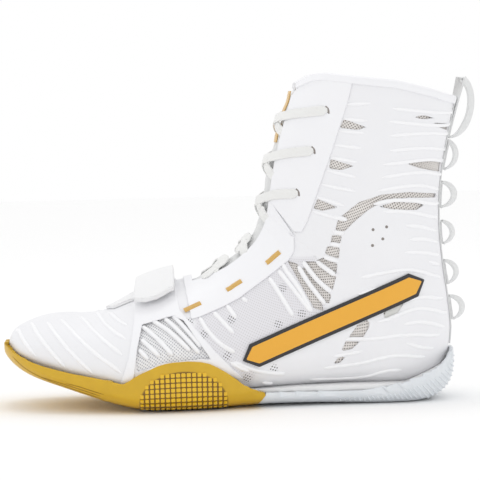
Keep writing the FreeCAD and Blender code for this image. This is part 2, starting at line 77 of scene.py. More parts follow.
def fanRays():
    # one origin and direction per row and angle, from the toe tip to above the collar
    angles = np.arange(fan["around"]) * 2 * math.pi / fan["around"]
    cx, cy, cz = fan["toeCentre"]
    origins, directions = [], []
    aside, upward = np.sin(angles) * fan["halfWidth"], np.cos(angles) * fan["halfHeight"]
    spread = np.hypot(aside, upward)
    for k in range(fan["toeRows"]):
        polar = math.pi / 2 * k / fan["toeRows"]
        ring = np.stack([np.full_like(angles, -math.cos(polar)),
                         math.sin(polar) * aside / spread,
                         math.sin(polar) * upward / spread], axis=1)
        origins.append(np.tile((cx, cy, cz), (len(angles), 1)))
        directions.append(ring)
    tops, lows = np.array(fan["tops"], float), np.array(fan["lows"], float)
    gaps = np.maximum(np.linalg.norm(np.diff(tops, axis=0), axis=1),
                      np.linalg.norm(np.diff(lows, axis=0), axis=1))
    stations = []
    for k, gap in enumerate(gaps):
        count = max(2, int(gap / fan["rowStep"]))
        stations.extend(k + np.arange(count) / count)
    ids = np.arange(len(tops))
    for s in stations:
        top = np.array([np.interp(s, ids, tops[:, 0]), np.interp(s, ids, tops[:, 1])])
        low = np.array([np.interp(s, ids, lows[:, 0]), np.interp(s, ids, lows[:, 1])])
        up = top - low
        height = np.linalg.norm(up) / 2
        up /= np.linalg.norm(up)
        middle = (top + low) / 2
        a, b = np.cos(angles) * height, np.sin(angles) * fan["halfWidth"]
        rays = np.stack([up[0] * a, b, up[1] * a], axis=1)
        rays /= np.linalg.norm(rays, axis=1)[:, None]
        centreY = np.interp(s, [0, 2, 4], [cy, 0.5, 0])
        origins.append(np.tile((middle[0], centreY, middle[1]), (len(angles), 1)))
        directions.append(rays)
    return np.array(origins), np.array(directions)


def castIn(tree, origins, directions, reach=300.0):
    # distance from each ray's origin to the outermost surface on it
    out = np.full(origins.shape[:2], np.nan)
    for r in range(origins.shape[0]):
        for c in range(origins.shape[1]):
            d = Vector(directions[r, c])
            start = Vector(origins[r, c]) * mm + d * (reach * mm)
            hit = tree.ray_cast(start, -d, reach * mm)
            if hit[0] is not None:
                out[r, c] = reach - hit[3] / mm
    return out


def median5(grid):
    stack = []
    for dr in range(-2, 3):
        for dc in range(-2, 3):
            rows = np.clip(np.arange(grid.shape[0]) + dr, 0, grid.shape[0] - 1)
            stack.append(np.roll(grid[rows], dc, axis=1))
    return np.nanmedian(np.array(stack), axis=0)


def blurred(grid, passes):
    for _ in range(passes):
        rows = np.arange(grid.shape[0])
        above, below = np.maximum(rows - 1, 0), np.minimum(rows + 1, len(rows) - 1)
        grid = 0.5 * grid + 0.25 * (grid[above] + grid[below])
        grid = 0.5 * grid + 0.25 * (np.roll(grid, 1, axis=1) + np.roll(grid, -1, axis=1))
    return grid


def cleaned(reach, limit=0.8):
    # strays at the gaps between bodies take their neighbours' middle value
    for _ in range(3):
        middle = median5(reach)
        reach = np.where(np.isnan(reach) | (np.abs(reach - middle) > limit), middle, reach)
    return reach


def footSurface(origins, directions):
    lining = [n for n in nodes if n.startswith("lining")]
    reach = castIn(treeOf(lining), origins, directions)
    tongue = castIn(treeOf(["tongue_lower", "tongue_upper"]), origins, directions) + 1.5
    reach = cleaned(np.where(np.isnan(reach), tongue, np.fmax(reach, tongue)))
    # rows above the collar carry on in line
    for c in range(reach.shape[1]):
        for r in range(2, reach.shape[0]):
            if np.isnan(reach[r, c]):
                reach[r, c] = 2 * reach[r - 1, c] - reach[r - 2, c]
                reach[r, c] = min(max(reach[r, c], reach[r - 1, c] - 0.3), reach[r - 1, c] + 0.3)
    return origins + directions * blurred(reach, 3)[:, :, None]


def normalsOf(grid):
    rows = np.arange(grid.shape[0])
    above, below = np.maximum(rows - 1, 0), np.minimum(rows + 1, len(rows) - 1)
    alongCols = np.roll(grid, -1, axis=1) - np.roll(grid, 1, axis=1)
    n = np.cross(grid[below] - grid[above], alongCols)
    n[0] = n[1].mean(axis=0)
    return n / (np.linalg.norm(n, axis=2)[:, :, None] + 1e-12)


def refined(grid):
    # twice the rows and columns
    rows = np.empty((2 * grid.shape[0] - 1,) + grid.shape[1:])
    rows[::2], rows[1::2] = grid, (grid[:-1] + grid[1:]) / 2
    out = np.empty((rows.shape[0], 2 * rows.shape[1], 3))
    out[:, ::2], out[:, 1::2] = rows, (rows + np.roll(rows, -1, axis=1)) / 2
    return blurred(out, 1)


def gridOf(points):
    # the surface with its normals and its flat layout in mm, for patterns
    steps = np.linalg.norm(np.roll(points, -1, axis=1) - points, axis=2)
    half = points.shape[1] // 2
    u = np.zeros(points.shape[:2])
    u[:, 1:half + 1] = np.cumsum(steps[:, :half], axis=1)
    u[:, half + 1:] = -np.cumsum(steps[:, ::-1], axis=1)[:, :half - 1][:, ::-1]
    rowSteps = np.linalg.norm(np.diff(points, axis=0), axis=2)
    side = (rowSteps[:, half // 2] + rowSteps[:, half + half // 2]) / 2
    v = np.concatenate([[0], np.cumsum(side)])
    return {"p": points, "n": normalsOf(points), "u": u, "v": v, "cut": {}}


origins, directions = fanRays()
foot = gridOf(footSurface(origins, directions))
fineFoot = gridOf(refined(foot["p"]))
print("foot surface", foot["p"].shape)

rubberNodes = ["outsole_toe", "outsole_flex_lateral", "outsole_flex_medial", "outsole_ball",
               "outsole_heel"]
cupLift = 4.5
soleReach = castIn(treeOf(rubberNodes), origins, directions)
swollen = foot["p"] + foot["n"] * cupLift
missed = np.isnan(soleReach)
soleReach = np.where(missed, np.einsum("rcx,rcx->rc", swollen - origins, directions), soleReach)
# rows at the toe hinge, where the rubber's bodies part, carry across it
rowX = origins[:, 0, 0]
hinge = np.nonzero((rowX > -173) & (rowX < -161))[0]
before, after = hinge[0] - 1, hinge[-1] + 1
for r in hinge:
    t = (r - before) / (after - before)
    soleReach[r] = soleReach[before] * (1 - t) + soleReach[after] * t
soleReach = cleaned(soleReach, 0.5)
sole = gridOf(origins + directions * soleReach[:, :, None])
print("sole surface ready")


def sampled(values, r, c):
    # value between the grid's rows and columns
    r = np.clip(np.asarray(r, float), 0, values.shape[0] - 1.001)
    c = np.asarray(c, float) % values.shape[1]
    r0, c0 = r.astype(int), c.astype(int) % values.shape[1]
    c1 = (c0 + 1) % values.shape[1]
    fr, fc = r - r0, c - np.floor(c)
    if values.ndim == 3:
        fr, fc = fr[..., None], fc[..., None]
    return ((values[r0, c0] * (1 - fc) + values[r0, c1] * fc) * (1 - fr)
            + (values[r0 + 1, c0] * (1 - fc) + values[r0 + 1, c1] * fc) * fr)


def unit(v):
    return v / (np.linalg.norm(v, axis=-1, keepdims=True) + 1e-12)


def located(grid, points, side):
    # rows and columns of side-view points on the outer side (-1) or the inner side (1)
    half = grid["p"].shape[1] // 2
    if side not in grid["cut"]:
        columns = np.arange(1, half) if side > 0 else np.arange(half + 1, 2 * half)
        rr, cc = np.meshgrid(np.arange(grid["p"].shape[0]), columns, indexing="ij")
        rr, cc = rr.ravel(), cc.ravel()
        tree = KDTree(len(rr))
        for k, p in enumerate(grid["p"][rr, cc]):
            tree.insert((p[0], 0, p[2]), k)
        tree.balance()
        grid["cut"][side] = (tree, rr, cc)
    tree, rr, cc = grid["cut"][side]
    target = np.array(points, float)
    found = [tree.find((x, 0, z))[1] for x, z in target]
    r, c = rr[found].astype(float), cc[found].astype(float)
    for _ in range(5):
        here = sampled(grid["p"], r, c)
        dr = (sampled(grid["p"], r + 0.5, c) - sampled(grid["p"], r - 0.5, c))[:, [0, 2]]
        dc = (sampled(grid["p"], r, c + 0.5) - sampled(grid["p"], r, c - 0.5))[:, [0, 2]]
        error = target - here[:, [0, 2]]
        det = dr[:, 0] * dc[:, 1] - dr[:, 1] * dc[:, 0]
        det = np.where(np.abs(det) < 0.05, np.sign(det) * 0.05 + 1e-9, det)
        r = r + np.clip((error[:, 0] * dc[:, 1] - error[:, 1] * dc[:, 0]) / det, -2, 2)
        c = c + np.clip((dr[:, 0] * error[:, 1] - dr[:, 1] * error[:, 0]) / det, -2, 2)
    return r, c


def inside(px, pz, outline):
    # distance to a closed outline, positive inside it
    points = np.array(outline, float)
    best = np.full(px.shape, 1e9)
    within = np.zeros(px.shape, bool)
    for (ax, az), (bx, bz) in zip(points, np.roll(points, -1, axis=0)):
        dx, dz = bx - ax, bz - az
        t = np.clip(((px - ax) * dx + (pz - az) * dz) / (dx * dx + dz * dz), 0, 1)
        best = np.minimum(best, np.hypot(px - ax - t * dx, pz - az - t * dz))
        if dz:
            within ^= ((az > pz) != (bz > pz)) & (px < ax + (pz - az) / dz * dx)
    return np.where(within, best, -best)


def under(px, pz, line):
    # depth below a line drawn from left to right
    points = np.array(line, float)
    return np.interp(px, points[:, 0], points[:, 1]) - pz


def addMesh(name, verts, faces, uv=None):
    mesh = bpy.data.meshes.new(name)
    mesh.from_pydata((np.asarray(verts) * mm).tolist(), [], faces)
    mesh.update()
    obj = bpy.data.objects.new(name, mesh)
    bpy.context.scene.collection.objects.link(obj)
    if uv is not None:
        layer = mesh.uv_layers.new(name="layout")
        corners = np.zeros(len(mesh.loops), int)
        mesh.loops.foreach_get("vertex_index", corners)
        layer.data.foreach_set("uv", np.asarray(uv)[corners].astype(np.float32).ravel())
    return obj


def picked(*objects):
    # these alone are selected, the first is active
    bpy.ops.object.select_all(action="DESELECT")
    for obj in objects:
        obj.select_set(True)
    bpy.context.view_layer.objects.active = objects[0]


def finished(obj, kind, **settings):
    # adds a modifier and applies it
    modifier = obj.modifiers.new(kind, kind)
    for key, value in settings.items():
        setattr(modifier, key, value)
    picked(obj)
    bpy.ops.object.modifier_apply(modifier=modifier.name)


def outward(obj):
    picked(obj)
    bpy.ops.object.mode_set(mode="EDIT")
    bpy.ops.mesh.select_all(action="SELECT")
    bpy.ops.mesh.normals_make_consistent(inside=False)
    bpy.ops.object.mode_set(mode="OBJECT")
    return obj


def smooth(obj, angle=38):
    picked(obj)
    bpy.ops.object.shade_smooth_by_angle(angle=math.radians(angle))
    return obj


def clipped(field):
    # the cells where a field is positive, cut along its zero line, as rows, columns and faces
    rows, cols = field.shape
    field = field.copy()
    gr = np.gradient(field, axis=0)
    gc = (np.roll(field, -1, axis=1) - np.roll(field, 1, axis=1)) / 2
    slope = gr * gr + gc * gc + 1e-9
    near = np.abs(field) < 0.3 * np.sqrt(slope)
    pr, pc = np.meshgrid(np.arange(rows, dtype=float), np.arange(cols, dtype=float), indexing="ij")
    pr = np.clip(np.where(near, pr - field * gr / slope, pr), 0, rows - 1)
    pc = np.where(near, pc - field * gc / slope, pc)
    field[near] = 0
    corners = [(0, 0), (1, 0), (1, 1), (0, 1)]
    values = [field[dr:rows - 1 + dr, :] if not dc else np.roll(field, -1, axis=1)[dr:rows - 1 + dr, :]
              for dr, dc in corners]
    low, high = np.min(values, axis=0), np.max(values, axis=0)
    outR, outC, faces, known = [], [], [], {}

    def gridVertex(r, c):
        key = (r, c % cols)
        if key not in known:
            known[key] = len(outR)
            outR.append(pr[r, c % cols])
            outC.append(pc[r, c % cols])
        return known[key]

    def cutVertex(a, b):
        key = tuple(sorted(((a[0], a[1] % cols), (b[0], b[1] % cols))))
        if key not in known:
            fa, fb = field[a[0], a[1] % cols], field[b[0], b[1] % cols]
            t = fa / (fa - fb)
            ca = pc[a[0], a[1] % cols] + (a[1] // cols) * cols
            cb = pc[b[0], b[1] % cols] + (b[1] // cols) * cols
            known[key] = len(outR)
            outR.append(pr[a[0], a[1] % cols] * (1 - t) + pr[b[0], b[1] % cols] * t)
            outC.append(ca * (1 - t) + cb * t)
        return known[key]

    for r, c in zip(*np.nonzero(high > 0)):
        r, c = int(r), int(c)
        cell = [(r + dr, c + dc) for dr, dc in corners]
        if low[r, c] >= 0:
            faces.append(tuple(gridVertex(*q) for q in cell))
            continue
        face = []
        for k in range(4):
            a, b = cell[k], cell[(k + 1) % 4]
            fa, fb = field[a[0], a[1] % cols], field[b[0], b[1] % cols]
            if fa >= 0:
                face.append(gridVertex(*a))
            if fa * fb < 0:
                face.append(cutVertex(a, b))
        if len(set(face)) > 2:
            faces.append(tuple(face))
    return np.array(outR), np.array(outC), faces


def marked(obj, grid, r, c, marks):
    # distances that a material reads, kept on the mesh before it gets its thickness
    for key, field in marks.items():
        values = sampled(field, r, c)
        attribute = obj.data.attributes.new(key, "FLOAT", "POINT")
        attribute.data.foreach_set("value", values.astype(np.float32))


def layer(name, grid, field, lift, thick, edge=0.3, marks=None):
    # a piece of sheet on the surface: cut out, lifted, given its thickness and soft edges
    r, c, faces = clipped(field)
    rise = sampled(lift, r, c) if isinstance(lift, np.ndarray) else lift
    normal = unit(sampled(grid["n"], r, c))
    points = sampled(grid["p"], r, c) + normal * np.reshape(rise, (-1, 1))
    uv = np.stack([sampled(grid["u"], r, c), np.interp(r, np.arange(len(grid["v"])), grid["v"])],
                  axis=1)
    obj = addMesh(name, points, faces, uv)
    marked(obj, grid, r, c, marks or {})
    finished(obj, "WELD", merge_threshold=0.22 * mm)
    finished(obj, "SOLIDIFY", thickness=thick * mm, offset=-1)
    if edge:
        finished(obj, "BEVEL", width=edge * mm, segments=2, limit_method="ANGLE",
                 angle_limit=math.radians(55), use_clamp_overlap=False)
    return smooth(obj)


def spaced(r, c, grid, step):
    # the same path with even steps
    dense = np.linspace(0, len(r) - 1, 12 * (len(r) - 1) + 1)
    dr, dc = np.interp(dense, np.arange(len(r)), r), np.interp(dense, np.arange(len(c)), c)
    points = sampled(grid["p"], dr, dc)
    run = np.concatenate([[0], np.cumsum(np.linalg.norm(np.diff(points, axis=0), axis=1))])
    count = max(4, int(run[-1] / step) + 1)
    at = np.linspace(0, run[-1], count)
    return np.interp(at, run, dr), np.interp(at, run, dc), at


def curved(points, times=2):
    # corners of a drawn line rounded off
    line = np.array(points, float)
    for _ in range(times):
        if len(line) < 3:
            break
        a, b = line[:-1], line[1:]
        line = np.concatenate([line[:1], np.stack([a * 0.75 + b * 0.25, a * 0.25 + b * 0.75],
                                                  axis=1).reshape(-1, 2)[1:-1], line[-1:]])
    return line


def sweep(centres, across, normal, profile, scale=None, closed=False):
    # a profile of (across, out) points carried along a line
    count, sides = len(centres), len(profile)
    scale = np.ones(count) if scale is None else scale
    verts = []
    for k in range(count):
        for a, b in profile:
            verts.append(centres[k] + (across[k] * a + normal[k] * b) * scale[k])
    faces = []
    for k in range(count if closed else count - 1):
        n = (k + 1) % count
        for s in range(sides):
            t = (s + 1) % sides
            faces.append((k * sides + s, n * sides + s, n * sides + t, k * sides + t))
    if not closed:
        faces.append(tuple(range(sides)))
        faces.append(tuple(count * sides - 1 - s for s in range(sides)))
    return verts, faces


def halfRound(width, height, steps=6):
    return [(-width / 2 * math.cos(math.pi * k / steps), height * math.sin(math.pi * k / steps))
            for k in range(steps + 1)]


def flatBand(width, thick, edge=0.35):
    w, t = width / 2, thick
    return [(-w, edge), (-w + edge, t - 0.05), (-w / 2, t), (w / 2, t), (w - edge, t - 0.05), (w, edge),
            (w - edge, 0), (-w + edge, 0)]


def strips(name, grid, paths, profile, base, step=1.3, taper=3.0):
    # several strips along paths of rows and columns, as one piece
    verts, faces = [], []
    for r, c in paths:
        r, c, at = spaced(r, c, grid, step)
        lifts = base(at / at[-1]) if callable(base) else base
        normal = unit(sampled(grid["n"], r, c))
        centres = sampled(grid["p"], r, c) + normal * np.reshape(lifts, (-1, 1))
        tangent = unit(np.gradient(centres, axis=0))
        across = unit(np.cross(tangent, normal))
        ends = np.minimum(at, at[-1] - at)
        scale = np.sqrt(np.clip(ends / taper, 0.12, 1)) if taper else None
        v, f = sweep(centres, across, normal, profile, scale)
        faces.extend(tuple(len(verts) + i for i in face) for face in f)
        verts.extend(v)
    uv = np.array(verts)[:, [0, 2]]
    obj = addMesh(name, verts, faces, uv)
    finished(obj, "WELD", merge_threshold=0.00002)
    return smooth(outward(obj), 50)


def toLinear(hexValue):
    parts = [int(hexValue[k:k + 2], 16) / 255 for k in (1, 3, 5)]
    return tuple(v / 12.92 if v <= 0.04045 else ((v + 0.055) / 1.055) ** 2.4 for v in parts) + (1.0,)


def addNode(tree, kind, inputs=None, output=0, **settings):
    # one node with its settings and links, given back as one of its outputs
    node = tree.nodes.new(kind)
    for key, value in settings.items():
        setattr(node, key, value)
    for key, value in (inputs or {}).items():
        if isinstance(value, bpy.types.NodeSocket):
            tree.links.new(value, node.inputs[key])
        else:
            node.inputs[key].default_value = value
    return node.outputs[output]


colourMix = {"output": 2, "data_type": "RGBA"}      # a Mix node's factor is 0, its colours are 6 and 7


def newMaterial(name, **shader):
    material = bpy.data.materials.new(name)
    material.use_nodes = True
    tree = material.node_tree
    principled = tree.nodes["Principled BSDF"]
    for key, value in shader.items():
        principled.inputs[key.replace("_", " ")].default_value = value
    return material, tree, principled


def onSurface(tree, pitch, turn):
    # flat layout in mm, scaled so that one unit is the pattern's pitch
    uv = addNode(tree, "ShaderNodeUVMap", uv_map="layout")
    return addNode(tree, "ShaderNodeMapping", {"Vector": uv, "Rotation": (0, 0, turn),
                                              "Scale": (1 / pitch, 1 / pitch, 1)})


def inSpace(tree, pitch, turn=(0, 0, 0)):
    coords = addNode(tree, "ShaderNodeTexCoord", output="Object")
    return addNode(tree, "ShaderNodeMapping", {"Vector": coords, "Rotation": turn,
                                              "Scale": (1000 / pitch,) * 3})


def cloud(tree, pitch, detail=2.0):
    # soft random patches about that many mm across
    return addNode(tree, "ShaderNodeTexNoise", {"Vector": inSpace(tree, pitch), "Scale": 1.0,
                                               "Detail": detail})


# a pitch in mm, the rest in pitches; real spacer mesh is nearer 1.0 mm, drawn coarse
meshHoles = {"pitch": 1.55, "size": 0.26, "soft": 0.08}


def openHoles(tree):
    # 1 inside each hole of the spacer mesh's diagonal lattice, 0 on the yarn
    cells = addNode(tree, "ShaderNodeTexVoronoi",
                    {"Vector": onSurface(tree, meshHoles["pitch"], math.pi / 4), "Scale": 1.0,
                     "Randomness": 0.06}, "Distance", voronoi_dimensions="2D")
    return addNode(tree, "ShaderNodeMapRange",
                   {"Value": cells, "From Min": meshHoles["size"] + meshHoles["soft"],
                    "From Max": meshHoles["size"] - meshHoles["soft"]})


def maskOf(tree, key, blur):
    # 1 where a kept distance is positive
    distance = addNode(tree, "ShaderNodeAttribute", output="Fac", attribute_name=key)
    return addNode(tree, "ShaderNodeMapRange", {"Value": distance, "From Min": -blur, "From Max": blur})


def surfaced(tree, principled, colour, height, strength, depth):
    # a colour and a relief of that depth in mm into the shader
    tree.links.new(colour, principled.inputs["Base Color"])
    relief = addNode(tree, "ShaderNodeBump", {"Height": height, "Strength": strength,
                                             "Distance": depth * mm})
    tree.links.new(relief, principled.inputs["Normal"])


def spacerMesh(name, yarn, hole):
    # open polyester spacer mesh: matt warm yarn round small holes, whiter over the toes; the holes are
    # closed and painted dark as painted shade seen through them
    material, tree, principled = newMaterial(name, Roughness=0.85, Sheen_Weight=0.25)
    holes = openHoles(tree)
    pale = maskOf(tree, "pale", 2.0)
    ground = addNode(tree, "ShaderNodeMix", {0: cloud(tree, 14, 3.0), 6: toLinear(yarn),
                                            7: toLinear("#EFEBE7")}, **colourMix)
    ground = addNode(tree, "ShaderNodeMix", {0: pale, 6: ground, 7: toLinear("#F0F0F1")}, **colourMix)
    # the holes' colour is painted shade, lighter over the toes
    shade = addNode(tree, "ShaderNodeMix", {0: pale, 6: toLinear(hole), 7: toLinear("#B4B4BA")},
                    **colourMix)
    colour = addNode(tree, "ShaderNodeMix", {0: holes, 6: ground, 7: shade}, **colourMix)
    yarnHeight = addNode(tree, "ShaderNodeMath", {0: 1.0, 1: holes}, operation="SUBTRACT")
    surfaced(tree, principled, colour, yarnHeight, 0.5, 0.3)
    return material


def fusedSkin():
    # thin TPU film fused on white knit: satin, faint knit grain, clearer over the instep,
    # where the mesh under it shows through; its holes there are painted grey and, in small clusters, dark,
    # as painted shade
    material, tree, principled = newMaterial("fusedTpuFilm", Roughness=0.42, IOR=1.5)
    holes = openHoles(tree)
    white = addNode(tree, "ShaderNodeMix", {0: cloud(tree, 30), 6: toLinear("#EAEAED"),
                                           7: toLinear("#EFEFF1")}, **colourMix)
    # grey dots of painted shade where the mesh's holes show through the clear film
    faint = addNode(tree, "ShaderNodeMath", {0: holes, 1: 0.3}, operation="MULTIPLY")
    clear = addNode(tree, "ShaderNodeMix", {0: faint, 6: toLinear("#E3E2E6"), 7: toLinear("#9B9894")},
                    **colourMix)
    colour = addNode(tree, "ShaderNodeMix", {0: maskOf(tree, "film", 1.2), 6: white, 7: clear},
                     **colourMix)
    cluster = addNode(tree, "ShaderNodeMath", {0: maskOf(tree, "cluster", 0.5), 1: holes},
                      operation="MULTIPLY")
    # painted shade: dark in the holes of the small clusters
    colour = addNode(tree, "ShaderNodeMix", {0: cluster, 6: colour, 7: toLinear("#4E4C4C")}, **colourMix)
    surfaced(tree, principled, colour, cloud(tree, 0.9), 0.12, 0.15)
    return material


def smoothFilm(name, colour, roughness, pitch=0.8, bump=0.08):
    # plain hot-pressed film: satin, nearly smooth, a little orange peel
    material, tree, principled = newMaterial(name, Roughness=roughness, IOR=1.5)
    lighter = addNode(tree, "ShaderNodeMix", {0: cloud(tree, 25), 6: toLinear(colour),
                                             7: toLinear("#FAFAFA")}, **colourMix)
    colour = addNode(tree, "ShaderNodeMix", {0: 0.25, 6: toLinear(colour), 7: lighter}, **colourMix)
    surfaced(tree, principled, colour, cloud(tree, pitch), bump, 0.2)
    return material


def woven(name, light, dark, pitch, roughness=0.8, sheen=0.3, bump=0.5, turn=(0, 0, 0)):
    # plain weave: two sets of threads across each other, drawn at the pitch in mm
    material, tree, principled = newMaterial(name, Roughness=roughness, Sheen_Weight=sheen)
    vector = inSpace(tree, pitch, turn)
    warp, weft = [addNode(tree, "ShaderNodeTexWave", {"Vector": vector, "Scale": 0.5, "Distortion": 0.4,
                  "Detail": 1.0}, "Fac", bands_direction=direction) for direction in ("X", "Z")]
    over = addNode(tree, "ShaderNodeMath", {0: warp, 1: weft}, operation="MULTIPLY")
    colour = addNode(tree, "ShaderNodeMix", {0: over, 6: toLinear(dark), 7: toLinear(light)},
                     **colourMix)
    surfaced(tree, principled, colour, over, bump, 0.25)
    return material


def mouldedRubber(name, colour, shade, roughness, coat=0.0):
    # moulded rubber: satin skin, slight mottling and scuffing
    material, tree, principled = newMaterial(name, Roughness=roughness, IOR=1.52, Coat_Weight=coat,
                                             Coat_Roughness=0.35)
    colour = addNode(tree, "ShaderNodeMix", {0: cloud(tree, 9, 4.0), 6: toLinear(shade),
                                            7: toLinear(colour)}, **colourMix)
    surfaced(tree, principled, colour, cloud(tree, 0.6), 0.15, 0.12)
    return material


def embroidery(name, light, dark, pitch, turn):
    # satin-stitched thread: fine parallel glossy strands
    material, tree, principled = newMaterial(name, Roughness=0.45, Sheen_Weight=0.4, Metallic=0.1)
    strands = addNode(tree, "ShaderNodeTexWave", {"Vector": inSpace(tree, pitch, turn), "Scale": 0.5,
                      "Distortion": 0.8, "Detail": 1.0}, "Fac", bands_direction="X")
    colour = addNode(tree, "ShaderNodeMix", {0: strands, 6: toLinear(dark), 7: toLinear(light)},
                     **colourMix)
    surfaced(tree, principled, colour, strands, 0.6, 0.2)
    return material


look = {
    # the mesh's dark hole colour is painted shade seen through the holes
    "mesh": spacerMesh("polyesterSpacerMesh", "#DCD7D3", "#77716C"),
    "skin": fusedSkin(),
    "film": smoothFilm("whiteTpuFilm", "#EFEFF2", 0.38),
    "rib": smoothFilm("raisedTpuRib", "#F4F4F6", 0.3),
    # darker gold for the sipe strips: painted shade of the grooves
    "grooveShade": mouldedRubber("goldGrooveShade", "#A88008", "#936D04", 0.6),
    # lighter gold on the studs: painted light, the same rubber as the sole
    "stud": mouldedRubber("goldStudPaintedLight", "#ECC012", "#DDB00C", 0.33, 0.25),
    "heel": mouldedRubber("clearWhiteRubber", "#E6E9EC", "#DADFE4", 0.38, 0.2),
    "foam": smoothFilm("whiteEvaFoam", "#EDEDED", 0.75, 1.5, 0.4),
    "board": woven("nonwovenBoard", "#DAD7CF", "#BEB9AE", 1.2),
    "stiff": smoothFilm("thermoplasticStiffener", "#D8D8D4", 0.6),
    "strap": woven("nylonStrapTape", "#F7F7F7", "#EBEBEC", 0.9, 0.65, 0.3, 0.3),
    "lace": woven("flatCottonLace", "#F9F9F8", "#ECECEA", 1.1, 0.85, 0.4, 0.7, (0, 0.6, 0)),
    "webbing": woven("polyesterWebbing", "#F5F5F5", "#DCDDDD", 1.2, 0.8, 0.3, 0.7),
    "tongue": woven("brushedTricot", "#EFEFEE", "#DDDEDE", 1.0, 0.85, 0.5, 0.4),
    "hook": woven("hookTape", "#E9E9EA", "#BFBFC1", 1.4, 0.7, 0.1, 1.0),
    "goldThread": embroidery("goldEmbroideryThread", "#EFC877", "#C08F3C", 0.9, (0, -0.45, 0)),
    "goldTwill": woven("goldPolyesterTwill", "#FBC250", "#E8A629", 0.9, 0.55, 0.3, 0.4, (0, 0.38, 0)),
    "charcoal": woven("charcoalPolyesterTwill", "#404044", "#28282B", 0.9, 0.6, 0.3, 0.5, (0, 0.38, 0)),
    # dark film in the lace slits and perforations: painted shade in the openings
    "slit": smoothFilm("paintedOpeningShade", "#6B6058", 0.8),
}


def dressed(obj, key):
    obj.data.materials.clear()
    obj.data.materials.append(look[key])


def placed(obj, key, slot, *packed):
    # a piece in its material, standing in for the imported nodes named
    dressed(obj, key)
    if packed:
        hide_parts(*packed)


print("materials ready")


def fieldsOf(p):
    return p[:, :, 0], p[:, :, 1], p[:, :, 2]


def raised(grid, lift):
    # where the surface's points come to when a piece lies that high on it
    return fieldsOf(grid["p"] + grid["n"] * lift)


def acrossToe(obj):
    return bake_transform(obj)


def acrossAnkle(obj):
    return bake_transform(obj)


names = {-1: "lateral", 1: "medial"}

outlines = {
    "collar": [(-90, 190), (-70, 192), (-49, 196), (-43, 203.5), (-34, 208.5), (-27, 209.4),
               (-6.5, 206.5), (15.5, 204), (25, 201.5), (38.5, 198), (46, 195.5), (57, 193),
               (90, 190)],
    "toeRubber": [(-260, 50), (-235, 41.3), (-230.8, 37.8), (-224.1, 34.3), (-217.4, 31.5),
                  (-210, 29.2), (-202.5, 27.3), (-192.7, 25), (-182.9, 23.4), (-172.9, 21.6),
                  (-165.6, 19.8), (-159.8, 18.5), (-155.5, 20.9), (-149.8, 24.4), (-144.2, 26.9),
                  (-138.5, 29.4), (-133.2, 30.9), (-127.9, 31.7), (-119.1, 32), (-110.9, 31.3),
                  (-105.2, 29.8), (-99.6, 26.8), (-94, 23.2), (-88.3, 19), (-84.5, 15.6),
                  (-75, 10.6), (-69.9, 8.9)],
    "heelRubber": [(-80, 9), (-69.9, 9.2), (-29.8, 8.2), (-11.3, 8.2), (3.3, 9.5), (18.1, 12.7),
                   (27.9, 15.7), (38.2, 20.1), (45.9, 24.9), (52.3, 31.6), (80, 60)],
    "throat": [(-113, 65), (-106, 69), (-88, 79), (-74, 90), (-62, 104), (-55, 122), (-51, 145),
               (-44, 170), (-34, 192), (-22, 215), (-80, 230), (-150, 110), (-116, 95)],
    "vampEdge": [(-148, 90), (-149, 62), (-152.5, 40), (-158.5, 22), (-160, 0), (-160, -20)],
    "film": [(-113, 58), (-95, 65), (-86.5, 69), (-66.5, 82), (-53.5, 93), (-46.5, 93.5),
             (-36.5, 94), (-32, 67), (-31, 58.5), (-48, 48.5), (-72, 35.5), (-80, 14),
             (-91.5, 21.5), (-103, 37), (-113.5, 51)],
    "windows": [
        [(-17.5, 180.5), (-4, 175), (-9, 173.5), (-20, 175)],
        [(-26, 155.5), (-12, 151), (-19.5, 148.5), (-27, 149.5)],
        [(-34.5, 130.5), (-22, 125), (-31.5, 123), (-37, 124.5)],
        [(25, 181.5), (33.5, 181.5), (41, 179), (30, 179.5)],
        [(33.5, 177), (50.5, 176), (51, 171)],
        [(20, 152), (32.5, 154), (46.5, 151), (45, 145), (29.5, 148.5)],
        [(-20.5, 119), (-9, 128), (5.5, 132.5), (22.5, 133.5), (41.5, 131.5), (40.5, 129),
         (22.5, 130), (11, 129), (1, 125.5), (-4, 122.5), (-13, 115), (-18, 110), (-24, 110),
         (-22.5, 116)],
        [(3, 125), (15, 128), (33.5, 125.5), (27.5, 122), (15, 122.5)],
        [(-27, 102), (-26, 107.5), (-20, 107), (-21, 102.5)],
        [(-30.5, 96.5), (-29, 100.5), (-21.5, 100), (-22, 92.5), (-30, 95.5)],
        [(-36, 91.5), (-31.5, 93.5), (-23, 89.5), (-24, 83), (-35.5, 89.5)],
        [(-45.5, 91), (-37, 91), (-24, 81.5), (-26.5, 73), (-39, 83.5)],
        [(-47.5, 87), (-42.5, 87), (-27.5, 69.5), (-29, 64.5), (-32.5, 65.5), (-41, 76)],
        [(-54, 91.5), (-48, 89.5), (-33.5, 64), (-32.5, 60), (-38.5, 61.5)],
        [(5, 58), (15, 64.5), (20, 67), (13, 55), (6.5, 52)],
        [(-11, 51), (-4, 54), (-4, 49), (-8, 42.5), (-17, 43)],
        [(-19, 40.5), (-10, 40), (-15, 35.5), (-22, 34)],
        [(-23.5, 30.5), (-19, 31), (-22.5, 27), (-27.5, 26)],
        [(-148, 55), (-127, 60.5), (-120.5, 57), (-105, 34.5), (-107.5, 31), (-136.5, 30),
         (-150.5, 26), (-151.5, 40)],
    ],
    "clusters": [(-58, 74.5), (-46.5, 58.5), (-61.5, 52.5), (-65, 25), (-82, 20), (-91, 56),
                 (-117.5, 54.5), (-108.5, 47.5), (-94.5, 34)],
    "holes": [(-0.5, 110.5), (8, 112), (5.5, 104.5), (-1, 100.5)],
}


def widest(fields):
    return np.max(np.array(fields), axis=0)


def narrowest(*fields):
    return np.min(np.array(fields), axis=0)


